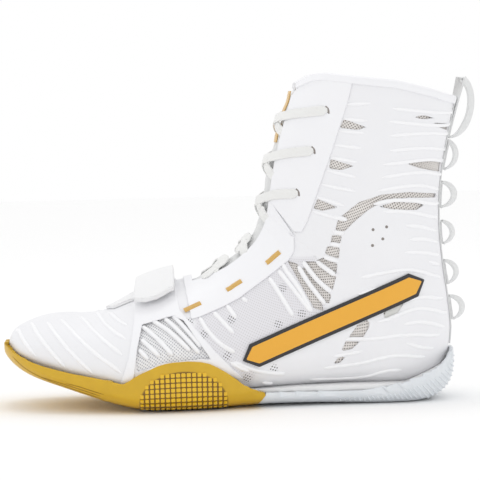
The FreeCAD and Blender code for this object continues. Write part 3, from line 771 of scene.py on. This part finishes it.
x, y, z = fieldsOf(foot["p"])
edgeX = np.interp(z, [q[1] for q in reversed(outlines["vampEdge"])],
                  [q[0] for q in reversed(outlines["vampEdge"])])
ahead = edgeX - x
collarDepth = under(x, z, outlines["collar"])
rubberTop = np.where(x < -69.9, under(x, z, outlines["toeRubber"]),
                     under(x, z, outlines["heelRubber"]))
aboveSole = 6.5 - rubberTop
throatDepth = narrowest(inside(x, z, outlines["throat"]), 15 - np.abs(y))
windowDepth = widest([inside(x, z, w) for w in outlines["windows"]])
windowDepth = narrowest(windowDepth, np.where(x > 20, np.abs(y) - 9, 99))
paleMark = {"pale": -80 - x}
marks = {
    "film": inside(x, z, outlines["film"]),
    "cluster": widest([2.7 - np.hypot(x - cx, z - cz) for cx, cz in outlines["clusters"]]),
}

# bootie: mesh inside the skin, seen in the windows and down the collar
boot = {"bootieThick": 1.35, "skinLift": 1.6, "skinThick": 1.4, "skinEdge": 0.3}
rearField = {side: narrowest(-ahead, side * y - 0.02, collarDepth, -throatDepth)
             for side in (-1, 1)}
vampBootie = layer("bootieVamp", foot, ahead, 0.0, boot["bootieThick"], 0, paleMark)
placed(vampBootie, "mesh", "mesh", "lining_toe", "lining_flex")
acrossToe(vampBootie)
for side in (-1, 1):
    piece = layer("bootie_" + names[side], foot, rearField[side], 0.0, boot["bootieThick"], 0,
                  paleMark)
    placed(piece, "mesh", "mesh", "lining_foot_" + names[side], "lining_shaft_" + names[side])
    acrossAnkle(piece)
print("bootie")

# skin: white film fused on knit, cut open where the mesh shows
vampSkin = layer("vamp", foot, narrowest(ahead, aboveSole), boot["skinLift"],
                 boot["skinThick"], 0, marks)
placed(vampSkin, "skin", "knit", "vamp_toe", "vamp_flex")
acrossToe(vampSkin)
for side in (-1, 1):
    field = narrowest(rearField[side], aboveSole, -windowDepth)
    piece = layer("quarter_" + names[side] + "_skin", foot, field, boot["skinLift"],
                  boot["skinThick"], boot["skinEdge"], marks)
    placed(piece, "skin", "knit", "quarter_" + names[side], "shaft_" + names[side])
    acrossAnkle(piece)
print("skin")

# raised ribs, drawn in side view on each side
ribs = {
    "vamp": {"width": 2.6, "height": 0.95, "lift": 1.45, "taper": 4.0, "lines": [
        [(-227, 48.5), (-214, 35.5)], [(-217.5, 53), (-208, 42.5), (-195.5, 29)],
        [(-207, 54), (-194.5, 40.5), (-178.5, 25.5)],
        [(-198.5, 55.5), (-180.5, 40), (-160.5, 25.5)],
        [(-186.5, 56.5), (-172.5, 45.5), (-159.5, 36)],
        [(-176.5, 58), (-166, 50), (-157, 45)], [(-167.5, 59), (-160, 54.5), (-156, 53)]]},
    "saddle": {"width": 3.0, "height": 1.6, "lift": 0.6, "taper": 1.5, "lines": [
        [(-141, 56.5), (-117.5, 38)], [(-147, 53), (-128.5, 35.5)], [(-148, 45.5), (-136.5, 35)],
        [(-149.5, 39.5), (-143.5, 33.5)], [(-133, 57.5), (-111.5, 36)],
        [(-128, 59.5), (-110.5, 40)]]},
    "middle": {"width": 3.1, "height": 1.5, "lift": 1.3, "taper": 1.6, "lines": [
        [(-57, 90), (-56, 86.5), (-47.5, 74.5), (-40, 59.5)],
        [(-47.5, 88), (-42, 78), (-31.5, 64)], [(-44.5, 91), (-36.5, 79.5), (-27.5, 71.5)],
        [(-36, 91), (-31, 87), (-24.5, 82)], [(-31.5, 94), (-22.5, 91)],
        [(-27.5, 102), (-21, 101)], [(-25.5, 109.5), (-18.5, 108.5)],
        [(-25.5, 119.5), (-16.5, 117)], [(-66, 81), (-60.5, 72), (-52, 57)],
        [(-60, 85.5), (-52.5, 75.5), (-40.5, 59.5)], [(-90.5, 30), (-75, 23.5), (-58, 21.5)],
        [(-72.5, 16.5), (-65.5, 15.5)], [(-111, 57.5), (-106.5, 49.5), (-98.5, 41), (-89.5, 36)],
        [(-102, 60.5), (-96, 54), (-90, 47.5)], [(-93.5, 64.5), (-88, 56.5)],
        [(-83.5, 69), (-80.5, 66)], [(-92.5, 30), (-87, 26.5), (-81, 24)]]},
    "heel": {"width": 2.5, "height": 0.95, "lift": 1.45, "taper": 4.0, "lines": [
        [(-11, 70), (1, 72.5), (13.5, 75)], [(-9, 80.5), (11, 84), (24, 84.5), (42.5, 78)],
        [(19.5, 95.5), (30.5, 95), (42, 92)], [(22.5, 103.5), (31.5, 103.5), (41.5, 100)],
        [(20, 112.5), (29.5, 111.5), (41, 107)], [(34, 89), (42.5, 85.5)],
        [(6, 122), (21, 121.5), (41.5, 116)], [(19, 65.5), (29.5, 67), (44, 64.5)],
        [(1, 52), (10.5, 54.5), (20, 58.5), (29.5, 60), (47, 55)],
        [(-19, 42), (0.5, 41.5), (17.5, 43.5), (41.5, 42)], [(-27.5, 31), (-8.5, 34)],
        [(-33, 24), (-8.5, 26), (10, 31), (31.5, 28.5)], [(-42, 17), (-8, 16.5), (6.5, 21), (17, 21)],
        [(19.5, 38), (37, 33.5)], [(18, 50), (29.5, 51.5), (44.5, 46.5)],
        [(0, 126.5), (13.5, 129.5), (43, 125.5)]]},
    "shaft": {"width": 2.3, "height": 0.9, "lift": 1.45, "taper": 4.0, "lines": [
        [(-15.5, 189.5), (-1, 190)], [(-17.5, 180.5), (-3, 179)], [(-20, 173), (-5, 171.5)],
        [(-23.5, 164.5), (-7, 162)], [(-26, 156.5), (-10, 153.5)], [(-28, 148.5), (-11, 144)],
        [(-32, 140), (-11, 135)], [(-35, 132), (-18, 126)], [(-37.5, 123), (-16.5, 117)],
        [(10.5, 178.5), (52.5, 176.5)], [(10.5, 169.5), (29.5, 170.5), (51, 170)],
        [(10.5, 160), (29.5, 161.5), (48, 160)], [(6, 151.5), (20, 152.5), (34.5, 154), (46.5, 152.5)],
        [(5.5, 143.5), (29.5, 146.5), (45, 143.5)], [(3, 135), (20, 137.5), (32.5, 137.5), (43, 133.5)],
        [(12.5, 186.5), (53.5, 184)]]},
}


def drawn(grid, lines, side):
    return [located(grid, curved(line), side) for line in lines]


for key, kind in ribs.items():
    for side in (-1, 1):
        paths = drawn(foot, kind["lines"], side)
        piece = strips("ribs_" + key + "_" + names[side], foot, paths,
                       halfRound(kind["width"], kind["height"]), kind["lift"], 1.3,
                       kind["taper"])
        placed(piece, "rib", "film")
        if key == "vamp":
            acrossToe(piece)
        elif key == "saddle":
            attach(piece, "foot")
        else:
            acrossAnkle(piece)
print("ribs")

# lace stays and saddle bands
panels = {
    "lowerStay": [(-116, 57.6), (-109.8, 59.1), (-94.3, 65.2), (-85.8, 69.3), (-66.2, 82.8),
                  (-53.5, 92.5), (-50, 98.5), (-50, 107.5), (-65, 131), (-130, 130), (-122, 90)],
    "upperStay": [(-45.5, 109.5), (-41.5, 116.5), (-26.5, 158), (-15.5, 190.5), (-9, 215),
                  (-80, 230), (-68, 134), (-50, 110)],
    "saddle": [(-152, 95), (-152, 57), (-156, 34), (-162, 17), (-157.6, 19), (-149.8, 23),
               (-138.5, 28), (-127.9, 30.5), (-119.1, 31), (-110.9, 30.3), (-105.2, 29),
               (-99.6, 26), (-94, 22), (-86.5, 18), (-84.5, 19), (-103, 39), (-123, 63),
               (-125, 71.5), (-125, 95)],
    "saddleHole": [(-147, 55), (-127.5, 60), (-121, 57), (-108, 38), (-104.5, 32.5), (-112, 33),
                   (-136.5, 31), (-153, 21.5), (-150.5, 40)],
    "lift": 2.7, "thick": 1.0, "edge": 0.35,
}
fx, fy, fz = raised(fineFoot, panels["lift"])
fineThroat = narrowest(inside(fx, fz, outlines["throat"]), 14.5 - np.abs(fy))
fineCollar = under(fx, fz, outlines["collar"]) - 0.4
for side in (-1, 1):
    sideField = side * fy - 0.02
    saddleField = narrowest(inside(fx, fz, panels["saddle"]),
                            -inside(fx, fz, panels["saddleHole"]), sideField)
    piece = layer("saddleBand_" + names[side], fineFoot, saddleField, panels["lift"],
                  panels["thick"], panels["edge"])
    placed(piece, "film", "film", "saddle_" + names[side])
    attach(piece, "foot")
    lowerField = narrowest(inside(fx, fz, panels["lowerStay"]), -fineThroat, sideField)
    piece = layer("lowerStayPanel_" + names[side], fineFoot, lowerField, panels["lift"],
                  panels["thick"], panels["edge"])
    placed(piece, "film", "film", "lower_stay_" + names[side])
    acrossAnkle(piece)
    upperField = narrowest(inside(fx, fz, panels["upperStay"]), -fineThroat, sideField, fineCollar)
    piece = layer("upperStayPanel_" + names[side], fineFoot, upperField, panels["lift"],
                  panels["thick"], panels["edge"])
    placed(piece, "film", "film", "upper_stay_" + names[side])
    acrossAnkle(piece)
print("stays and saddle")

# rubber sole: gold in front, clear white at the heel
soleShape = {"thick": 2.6, "edge": 0.45, "heelRibStep": 2.35, "heelRib": (1.5, 0.85),
             "domeCentre": (-122.0, 5.0), "domeHalf": (29.5, 22.0), "domeInset": 1.2,
             "studPitch": (3.35, 3.1), "stud": (2.7, 2.45, 1.1), "studFoot": 1.9,
             "sipe": (0.9, 0.16), "seam": (-69.9, 9, 0.7), "heelRow": 60}
sx, sz = fieldsOf(sole["p"])[::2]
seamX, seamZ, seamLean = soleShape["seam"]
goldEnd = seamX - (seamZ - sz) * seamLean - sx
goldTop = under(sx, sz, outlines["toeRubber"])
heelTop = under(sx, sz, outlines["heelRubber"])


def domeDepth(px, pz):
    cx, cz = soleShape["domeCentre"]
    a, b = soleShape["domeHalf"]
    level = np.where(pz > cz, np.hypot((px - cx) / a, (pz - cz) / b), np.abs(px - cx) / a)
    return (1 - level) * 20


# the kept dome distance marks the ground between the studs, which gets painted shade
goldSheet = layer("forefootRubber", sole, narrowest(goldTop, goldEnd), 0.0, soleShape["thick"],
                  0, {"dome": domeDepth(sx, sz) - soleShape["domeInset"]})
# moulded gold gum rubber, satin and a little mottled; the ground between the studs is painted dark brown as
# painted shade
look["goldSole"], tree, principled = newMaterial("goldGumSole", Roughness=0.4, IOR=1.52,
                                                 Coat_Weight=0.15, Coat_Roughness=0.35)
plain = addNode(tree, "ShaderNodeMix", {0: cloud(tree, 9, 4.0), 6: toLinear("#C79D0A"),
                                       7: toLinear("#D8AE13")}, **colourMix)
# painted shade: dark brown on the ground between the studs
studGroundShaded = addNode(tree, "ShaderNodeMix", {0: maskOf(tree, "dome", 0.4), 6: plain,
                                       7: toLinear("#7A5800")}, **colourMix)
tree.links.new(studGroundShaded, principled.inputs["Base Color"])
placed(goldSheet, "goldSole", "gold_rubber", "outsole_toe", "outsole_flex_lateral",
       "outsole_flex_medial", "outsole_ball")
acrossToe(goldSheet)
heelSheet = layer("heelRubber", sole, narrowest(heelTop, -goldEnd - 0.2), 0.0, soleShape["thick"],
                  soleShape["edge"])
placed(heelSheet, "heel", "heel_rubber", "outsole_heel")
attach(heelSheet, "foot")


def primitiveShape(maker, bevel, **settings):
    # a primitive shaped once; its points in mm and its faces are copied where it repeats
    bpy.ops.object.select_all(action="DESELECT")
    maker(**settings)
    obj = bpy.context.object
    if bevel:
        finished(obj, "BEVEL", width=bevel, segments=1)
    points = np.array([tuple(v.co) for v in obj.data.vertices])
    faces = [tuple(p.vertices) for p in obj.data.polygons]
    bpy.data.objects.remove(obj)
    return points, faces


def copies(name, shape, places):
    # one mesh of copies, each with its own centre, axes and size
    points, faces = shape
    verts, allFaces = [], []
    for centre, axes, size in places:
        base = len(verts)
        verts.extend(centre + (points * np.array(size)) @ np.array(axes))
        allFaces.extend(tuple(base + i for i in face) for face in faces)
    obj = addMesh(name, verts, allFaces, np.array(verts)[:, [0, 2]])
    return smooth(obj, 30)


def frameAt(grid, line, side):
    # position, forward, upward and outward directions at side-view points
    r, c = located(grid, line, side)
    normal = unit(sampled(grid["n"], r, c))
    forward = unit(np.array([1.0, 0, 0]) - normal * normal[:, :1])
    return sampled(grid["p"], r, c), forward, unit(np.cross(normal, forward)), normal


cube = primitiveShape(bpy.ops.mesh.primitive_cube_add, 0.16, size=1.0)
studs = []
for side in (-1, 1):
    spots = []
    for i in range(-9, 10):
        for j in range(9):
            px = soleShape["domeCentre"][0] + i * soleShape["studPitch"][0] * (1 - 0.0035 * abs(i))
            across = i / 9
            pz = soleShape["studFoot"] + j * soleShape["studPitch"][1] - 0.25 * across * across * j
            if domeDepth(np.array(px), np.array(pz)) > 0.9:
                spots.append((px, pz))
    p, forward, up, normal = frameAt(sole, spots, side)
    for k in range(len(spots)):
        shrink = 1 - 0.25 * abs(spots[k][0] - soleShape["domeCentre"][0]) / 30
        w, h, t = soleShape["stud"]
        studs.append((p[k] + normal[k] * 0.15, (forward[k], up[k], normal[k]), (w * shrink, h, t)))
studPiece = copies("studs", cube, studs)
# the studs' lighter gold is painted light
placed(studPiece, "stud", "gold_rubber")
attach(studPiece, "foot")

sipeLines = [[(-230, 34), (-222, 26.8), (-207, 19.8), (-192, 14.8), (-173, 8.6)],
             [(-213, 22.6), (-203, 19.6), (-189, 15.6), (-174, 10.6)],
             [(-196, 18.6), (-188, 17), (-180, 14.4), (-172, 12)]]
# sipes: thin strips in a darker gold, painted shade standing in for the grooves
for side in (-1, 1):
    piece = strips("sipes_" + names[side], sole, drawn(sole, sipeLines, side),
                   halfRound(*soleShape["sipe"]), 0.02, 1.5, 5.0)
    placed(piece, "grooveShade", "gold_rubber")
    acrossToe(piece)

ribPaths = []
lowest = sole["p"].shape[1] // 2
bottom = sole["p"][:, lowest]
rows = [r for r in range(soleShape["heelRow"], len(bottom)) if bottom[r, 0] > -24 and bottom[r, 2] < 30]
run = 0.0
for r, nextRow in zip(rows[:-1], rows[1:]):
    run += np.linalg.norm(bottom[nextRow] - bottom[r])
    if run < soleShape["heelRibStep"]:
        continue
    run = 0.0
    for sign in (-1, 1):
        columns = [lowest + sign * k for k in range(2, 90)]
        wall = [c for c in columns if heelTop[r, c] > 3.4 and (sz[r, c] > 1.0)]
        if len(wall) > 3:
            ribPaths.append((np.array([r, r], float), np.array([wall[0], wall[-1]], float)))
ribPiece = strips("heelRubberRibs", sole, ribPaths, halfRound(*soleShape["heelRib"], 4), -0.05, 1.6, 2.0)
placed(ribPiece, "heel", "heel_rubber")
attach(ribPiece, "foot")
print("sole", len(studs), "studs", len(ribPaths), "heel ribs")

# strap over the instep and the tab in front of it
strapShape = {
    "front": [(40, -152.5), (71, -152.5), (88, -149.5)], "rear": -126.5, "root": 42.0,
    "lift": 7.2, "crown": 4.6, "thick": 3.8, "edge": 0.6,
    "end": [(-160, 70.8), (-152.5, 70.8), (-145.8, 70.4), (-137.9, 72.1), (-128.7, 76.7), (-120, 81)],
    "tab": [(-170.5, 0), (-166, -9.5), (-153, -15), (-130, -16), (-130, 16), (-153, 15), (-166, 9)],
    "tabLift": 3.6, "tabThick": 1.9,
}
strapLift = strapShape["lift"] + strapShape["crown"] * np.clip(fineFoot["n"][:, :, 2] * 2 - 1, 0, 1)
px, py, pz = raised(fineFoot, strapLift[:, :, None])
endDepth = np.where(py < 0, -under(px, pz, strapShape["end"]), pz - strapShape["root"])
frontEdge = np.interp(pz, *np.array(strapShape["front"], float).T)
strapField = narrowest(px - frontEdge, strapShape["rear"] - px, endDepth)
strapPiece = layer("strapTape", fineFoot, strapField, strapLift, strapShape["thick"],
                   strapShape["edge"])
placed(strapPiece, "strap", "strap", "strap")
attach(strapPiece, "strap")
px, py, pz = raised(fineFoot, strapShape["tabLift"])
tabField = narrowest(inside(px, py, strapShape["tab"]), pz - 52)
tabPiece = layer("strapTab", fineFoot, tabField, strapShape["tabLift"], strapShape["tabThick"], 0.8)
placed(tabPiece, "strap", "strap", "strap_tab")
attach(tabPiece, "foot")
print("strap")

# padded tongue, its woven label, and the flat lace
tongueShape = {
    "zone": [(-122, 55), (-108, 58), (-82, 70), (-64, 84), (-50, 104), (-44, 125), (-40, 150),
             (-34, 175), (-24, 195), (-16, 230), (-90, 240), (-160, 110)],
    "half": 24.0, "thick": 3.2, "bulge": 2.4, "label": [(184.5, 199.0), (166.5, 178.0)],
}
bulge = tongueShape["bulge"] * np.clip(throatDepth / 7, 0, 1) ** 0.7
bulge = blurred(bulge, 2) * (1 + 0.12 * np.sin(z * 0.45))
tongueField = narrowest(inside(x, z, tongueShape["zone"]), tongueShape["half"] - np.abs(y),
                        collarDepth - 1.0)
tonguePiece = layer("tongue", foot, tongueField, -1.5 + bulge, tongueShape["thick"], 1.0)
placed(tonguePiece, "tongue", "padding", "tongue_lower", "tongue_upper")
acrossAnkle(tonguePiece)
fineBulge = refined(np.repeat(bulge[:, :, None], 3, axis=2))[:, :, 0]
labelField = widest([narrowest(8.5 - np.abs(fy), fz - low, high - fz, -fx - 30)
                     for low, high in tongueShape["label"]])
labelPiece = layer("tongueLabel", fineFoot, labelField, -1.5 + fineBulge + 0.7, 0.6, 0.2)
placed(labelPiece, "goldThread", "badge", "tongue_label")
acrossAnkle(labelPiece)

laceShape = {
    "width": 6.2, "thick": 1.15, "firstRow": 110,
    # slit in side view, height of the crossing at the front, height where it tucks in
    "rows": [((-26.5, 186), 181, 172), ((-35.5, 161), 156, 146), ((-45.5, 134.5), 131, 120),
             ((-84, 94), 105, 98), ((-107, 78.5), 90.5, 84.5)],
}
profileRows = np.arange(laceShape["firstRow"], foot["p"].shape[0])
profileZ = foot["p"][profileRows, 0, 2]


def rowAt(height):
    return float(np.interp(height, profileZ, profileRows))


lacePaths = {1: [], -1: []}
cols = foot["p"].shape[1]
for slit, front, tuck in laceShape["rows"]:
    for side in (-1, 1):
        r, c = located(foot, [slit], side)
        c0 = c[0] - cols if side < 0 else c[0]
        r1, r2 = rowAt(front), rowAt(tuck)
        points = np.array([(r[0], c0), (r[0] * 0.55 + r1 * 0.45, c0 * 0.62), (r1 + 0.5, side * 9),
                           (r1 * 0.7 + r2 * 0.3, -side * 2), (r2, -side * 16)])
        points = curved(points)
        lacePaths[side].append((points[:, 0], points[:, 1]))


def laceLift(over):
    def lift(t):
        rise = 2.75 + (0.3 + 1.25 * over) * np.exp(-((t - 0.68) / 0.16) ** 2)
        return rise - 2.2 * np.clip((t - 0.84) / 0.16, 0, 1) ** 2
    return lift


laceParts = []
for side, over in ((-1, 1), (1, 0)):
    laceParts.append(strips("laceBand", foot, lacePaths[side],
                            flatBand(laceShape["width"], laceShape["thick"]), laceLift(over), 1.3, 2.5))
picked(*laceParts)
bpy.ops.object.join()
lacePiece = laceParts[0]
lacePiece.name = "lace"
placed(lacePiece, "lace", "lace", "lace_lower", "lace_middle", "lace_upper")
acrossAnkle(lacePiece)
# dark strips along the lace slits: painted shade in the openings
for side in (-1, 1):
    slitPaths = [located(fineFoot, [(row[0][0] - 1.0, row[0][1] + 2.6),
                                    (row[0][0] + 0.8, row[0][1] - 2.2)], side)
                 for row in laceShape["rows"][:3]]
    piece = strips("laceSlits_" + names[side], fineFoot, slitPaths, halfRound(2.4, 0.3), 2.66, 0.8, 2.0)
    placed(piece, "slit", "film")
    acrossAnkle(piece)
print("tongue and lace")

# badges, bar tacks, perforations
badge = {"centre": (-26, 54), "length": 55, "width": 8, "point": 8, "rise": 22, "border": 2.3}
tacks = [((-115, 63), 22), ((-88, 75.5), 30), ((-62.5, 93), 40)]


def hexagon(inset):
    a = math.radians(badge["rise"])
    half, wide = badge["length"] - inset * 0.4, badge["width"] - inset
    point = badge["point"] - inset * 0.6
    corners = [(-half - point, 0), (-half, -wide), (half, -wide), (half + point, 0), (half, wide),
               (-half, wide)]
    cx, cz = badge["centre"]
    return [(cx + u * math.cos(a) - w * math.sin(a), cz + u * math.sin(a) + w * math.cos(a))
            for u, w in corners]


for side in (-1, 1):
    sideField = side * fy - 0.02
    piece = layer("badgeBorder_" + names[side], fineFoot,
                  narrowest(inside(fx, fz, hexagon(0)), sideField), 2.75, 1.0, 0.25)
    placed(piece, "charcoal", "badge", "badge_" + names[side])
    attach(piece, "foot")
    piece = layer("badgeGold_" + names[side], fineFoot,
                  narrowest(inside(fx, fz, hexagon(badge["border"])), sideField), 3.15, 0.6, 0.2)
    placed(piece, "goldTwill", "badge")
    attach(piece, "foot")
    for k, ((cx, cz), rise) in enumerate(tacks, 1):
        a = math.radians(rise)
        line = [(cx + t * math.cos(a), cz + t * math.sin(a)) for t in (-5.6, 0, 5.6)]
        piece = strips("barTack_%s_%d" % (names[side], k), fineFoot, [located(fineFoot, line, side)],
                       halfRound(3.4, 0.75), 2.6, 0.8, 0)
        placed(piece, "goldThread", "gold_thread", "bar_tack_%s_%d" % (names[side], k))
        if k == 3:
            acrossAnkle(piece)
        else:
            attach(piece, "foot")
# dark discs at the perforations: painted shade in the holes
disc = primitiveShape(bpy.ops.mesh.primitive_cylinder_add, 0.0, vertices=16, radius=0.5, depth=1.0)
holes = []
for side in (-1, 1):
    p, forward, up, normal = frameAt(foot, outlines["holes"], side)
    for k in range(len(p)):
        holes.append((p[k] + normal[k] * 1.5, (forward[k], up[k], normal[k]), (1.9, 1.9, 0.3)))
holePiece = copies("perforations", disc, holes)
placed(holePiece, "slit", "knit")
acrossAnkle(holePiece)
print("badges and tacks")

# heel tape, pull loops, collar binding
tape = {"half": 6.0, "lift": 2.7, "thick": 1.0, "loopWidth": 9.6, "twist": 30, "loopThick": 1.4,
        "firstRow": 100,
        "loops": [(55.5, 186, 11, 19, -12), (46.5, 156, 10, 9.5, -10), (45, 130, 10, 7.5, 0),
                  (43.5, 105.5, 10, 7.2, 0), (46, 79.5, 9.5, 7.2, 5), (50, 56.5, 9, 7, 6)]}
tapeField = narrowest(tape["half"] - np.abs(fy), fx - 10, fz - 34, fineCollar)
piece = layer("heelTape", fineFoot, tapeField, tape["lift"], tape["thick"], 0.3)
placed(piece, "webbing", "webbing", "heel_tape_lower", "heel_tape_upper")
acrossAnkle(piece)
backLine = foot["p"][:, cols // 2]
backRows = [r for r in range(tape["firstRow"], len(backLine)) if backLine[r, 0] > 30 and backLine[r, 2] > 25]
for k, (cx, cz, reach, half, lean) in enumerate(tape["loops"], 1):
    a = math.radians(-lean)
    centres = []
    for t in np.linspace(0, 2 * math.pi, 56, endpoint=False):
        px, pz = reach * math.cos(t), half * math.sin(t)
        px, pz = cx + px * math.cos(a) + pz * math.sin(a), cz - px * math.sin(a) + pz * math.cos(a)
        back = np.interp(pz, backLine[backRows, 2], backLine[backRows, 0]) + tape["lift"] + 0.9
        centres.append((max(px, back), 0, pz))
    centres = np.array(centres)
    for _ in range(2):
        centres = (np.roll(centres, 1, axis=0) + centres * 2 + np.roll(centres, -1, axis=0)) / 4
    tangent = unit(np.roll(centres, -1, axis=0) - np.roll(centres, 1, axis=0))
    straight = np.tile((0, 1.0, 0), (len(centres), 1))
    out = np.cross(straight, tangent)
    twist = math.radians(tape["twist"]) * np.clip((centres[:, :1] - centres[:, 0].min()) / 9, 0, 1)
    across = straight * np.cos(twist) + out * np.sin(twist)
    out = np.cross(across, tangent)
    v, f = sweep(centres, across, out, flatBand(tape["loopWidth"], tape["loopThick"]), closed=True)
    piece = smooth(outward(addMesh("pullLoop%d" % k, v, f, np.array(v)[:, [0, 2]])), 40)
    placed(piece, "webbing", "webbing", "pull_loop_%d" % k)
    if k <= 4:
        acrossAnkle(piece)
    else:
        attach(piece, "foot")

# half round over the collar's edge, as (up, out) from the bootie's rim
collar = {"firstRow": 120,
          "profile": [(-5.0, 2.55), (-4.8, 2.9), (-1.0, 2.95), (-0.2, 2.3), (0.15, 0.5), (-0.2, -1.2),
                      (-1.0, -1.9), (-4.8, -1.9), (-5.0, -1.6)]}
for side in (-1, 1):
    columns = range(15, cols // 2 - 4) if side > 0 else range(cols // 2 + 5, cols - 14)
    path = []
    for c in columns:
        depth = collarDepth[collar["firstRow"]:, c]
        r = int(np.argmax(depth < 0))
        path.append((collar["firstRow"] + r - 1 + depth[r - 1] / (depth[r - 1] - depth[r]), c))
    path = np.array(path)
    edge = sampled(foot["p"], path[:, 0], path[:, 1])
    normal = unit(sampled(foot["n"], path[:, 0], path[:, 1]))
    tangent = unit(np.gradient(edge, axis=0))
    rise = unit(np.cross(tangent, normal)) * side
    rise = rise * np.sign(rise[:, 2:3])
    ring = []
    for a, b in collar["profile"]:
        ring.append(edge + rise * a + normal * b)
    count, sides = len(edge), len(ring)
    v = np.stack(ring, axis=1).reshape(-1, 3)
    f = [(k * sides + s, k * sides + (s + 1) % sides, (k + 1) * sides + (s + 1) % sides,
          (k + 1) * sides + s) for k in range(count - 1) for s in range(sides)]
    f += [tuple(range(sides - 1, -1, -1)), tuple((count - 1) * sides + s for s in range(sides))]
    piece = smooth(outward(addMesh("collarBinding_" + names[side], v, f, v[:, [0, 2]])), 40)
    placed(piece, "film", "padding", "collar_binding_" + names[side])
    acrossAnkle(piece)
print("tape, loops and collar")

# inner pieces kept from the frame, each with its own material
inner = {"midsole_toe": "foam", "midsole_foot": "foam", "board_toe": "board", "board_foot": "board",
         "sockliner_toe": "tongue", "sockliner_foot": "tongue", "toe_puff": "stiff",
         "heel_counter": "stiff", "hook_patch": "hook", "loop_patch": "hook"}
for name, key in inner.items():
    dressed(nodes[name], key)
print("inner pieces")

# camera and light


def place(obj, location, target):
    obj.location = Vector(location) * mm
    obj.rotation_euler = (Vector(target) * mm - obj.location).to_track_quat("-Z", "Y").to_euler()


shot = {"target": (-83.0, 0.0, 103.8), "distance": 1500.0, "azimuth": -2.0, "elevation": 3.6,
        "roll": -0.023, "lens": 175.0}
cam = bpy.data.objects.new("camera", bpy.data.cameras.new("camera"))
bpy.context.scene.collection.objects.link(cam)
cam.data.lens = shot["lens"]
cam.data.sensor_width = 36
a, e = math.radians(shot["azimuth"]), math.radians(shot["elevation"])
back = Vector((math.sin(a) * math.cos(e), -math.cos(a) * math.cos(e), math.sin(e)))
place(cam, Vector(shot["target"]) + back * shot["distance"], shot["target"])
cam.rotation_euler.rotate_axis("Z", shot["roll"])
bpy.context.scene.camera = cam

studio = {
    "world": 1.0,
    "lamps": [("key", (-200, 100, 1400), 1.6, 350), ("fill", (500, -1300, 300), 0.2, 1200)],
    "floor": 6.0,
}
for name, spot, power, size in studio["lamps"]:
    lamp = bpy.data.objects.new(name, bpy.data.lights.new(name, "AREA"))
    lamp.data.energy = power
    lamp.data.size = size * mm
    bpy.context.scene.collection.objects.link(lamp)
    place(lamp, spot, (-90, 0, 90))
world = bpy.data.worlds.new("studio")
bpy.context.scene.world = world
world.use_nodes = True
world.node_tree.nodes["Background"].inputs[0].default_value = (1, 1, 1, 1)
world.node_tree.nodes["Background"].inputs[1].default_value = studio["world"]
bpy.context.scene.view_settings.view_transform = "Standard"

bpy.ops.object.select_all(action="DESELECT")
bpy.ops.mesh.primitive_plane_add(size=studio["floor"], location=(0, 0, -0.0005))
floor = bpy.context.object
floor.name = "floor"
paper, tree, principled = newMaterial("whiteSeamlessPaper", Roughness=0.9)
fibre = addNode(tree, "ShaderNodeMix", {0: cloud(tree, 3), 6: toLinear("#FBFBFB"),
                                       7: toLinear("#FEFEFE")}, **colourMix)
tree.links.new(fibre, principled.inputs["Base Color"])
floor.data.materials.append(paper)
print("studio ready")
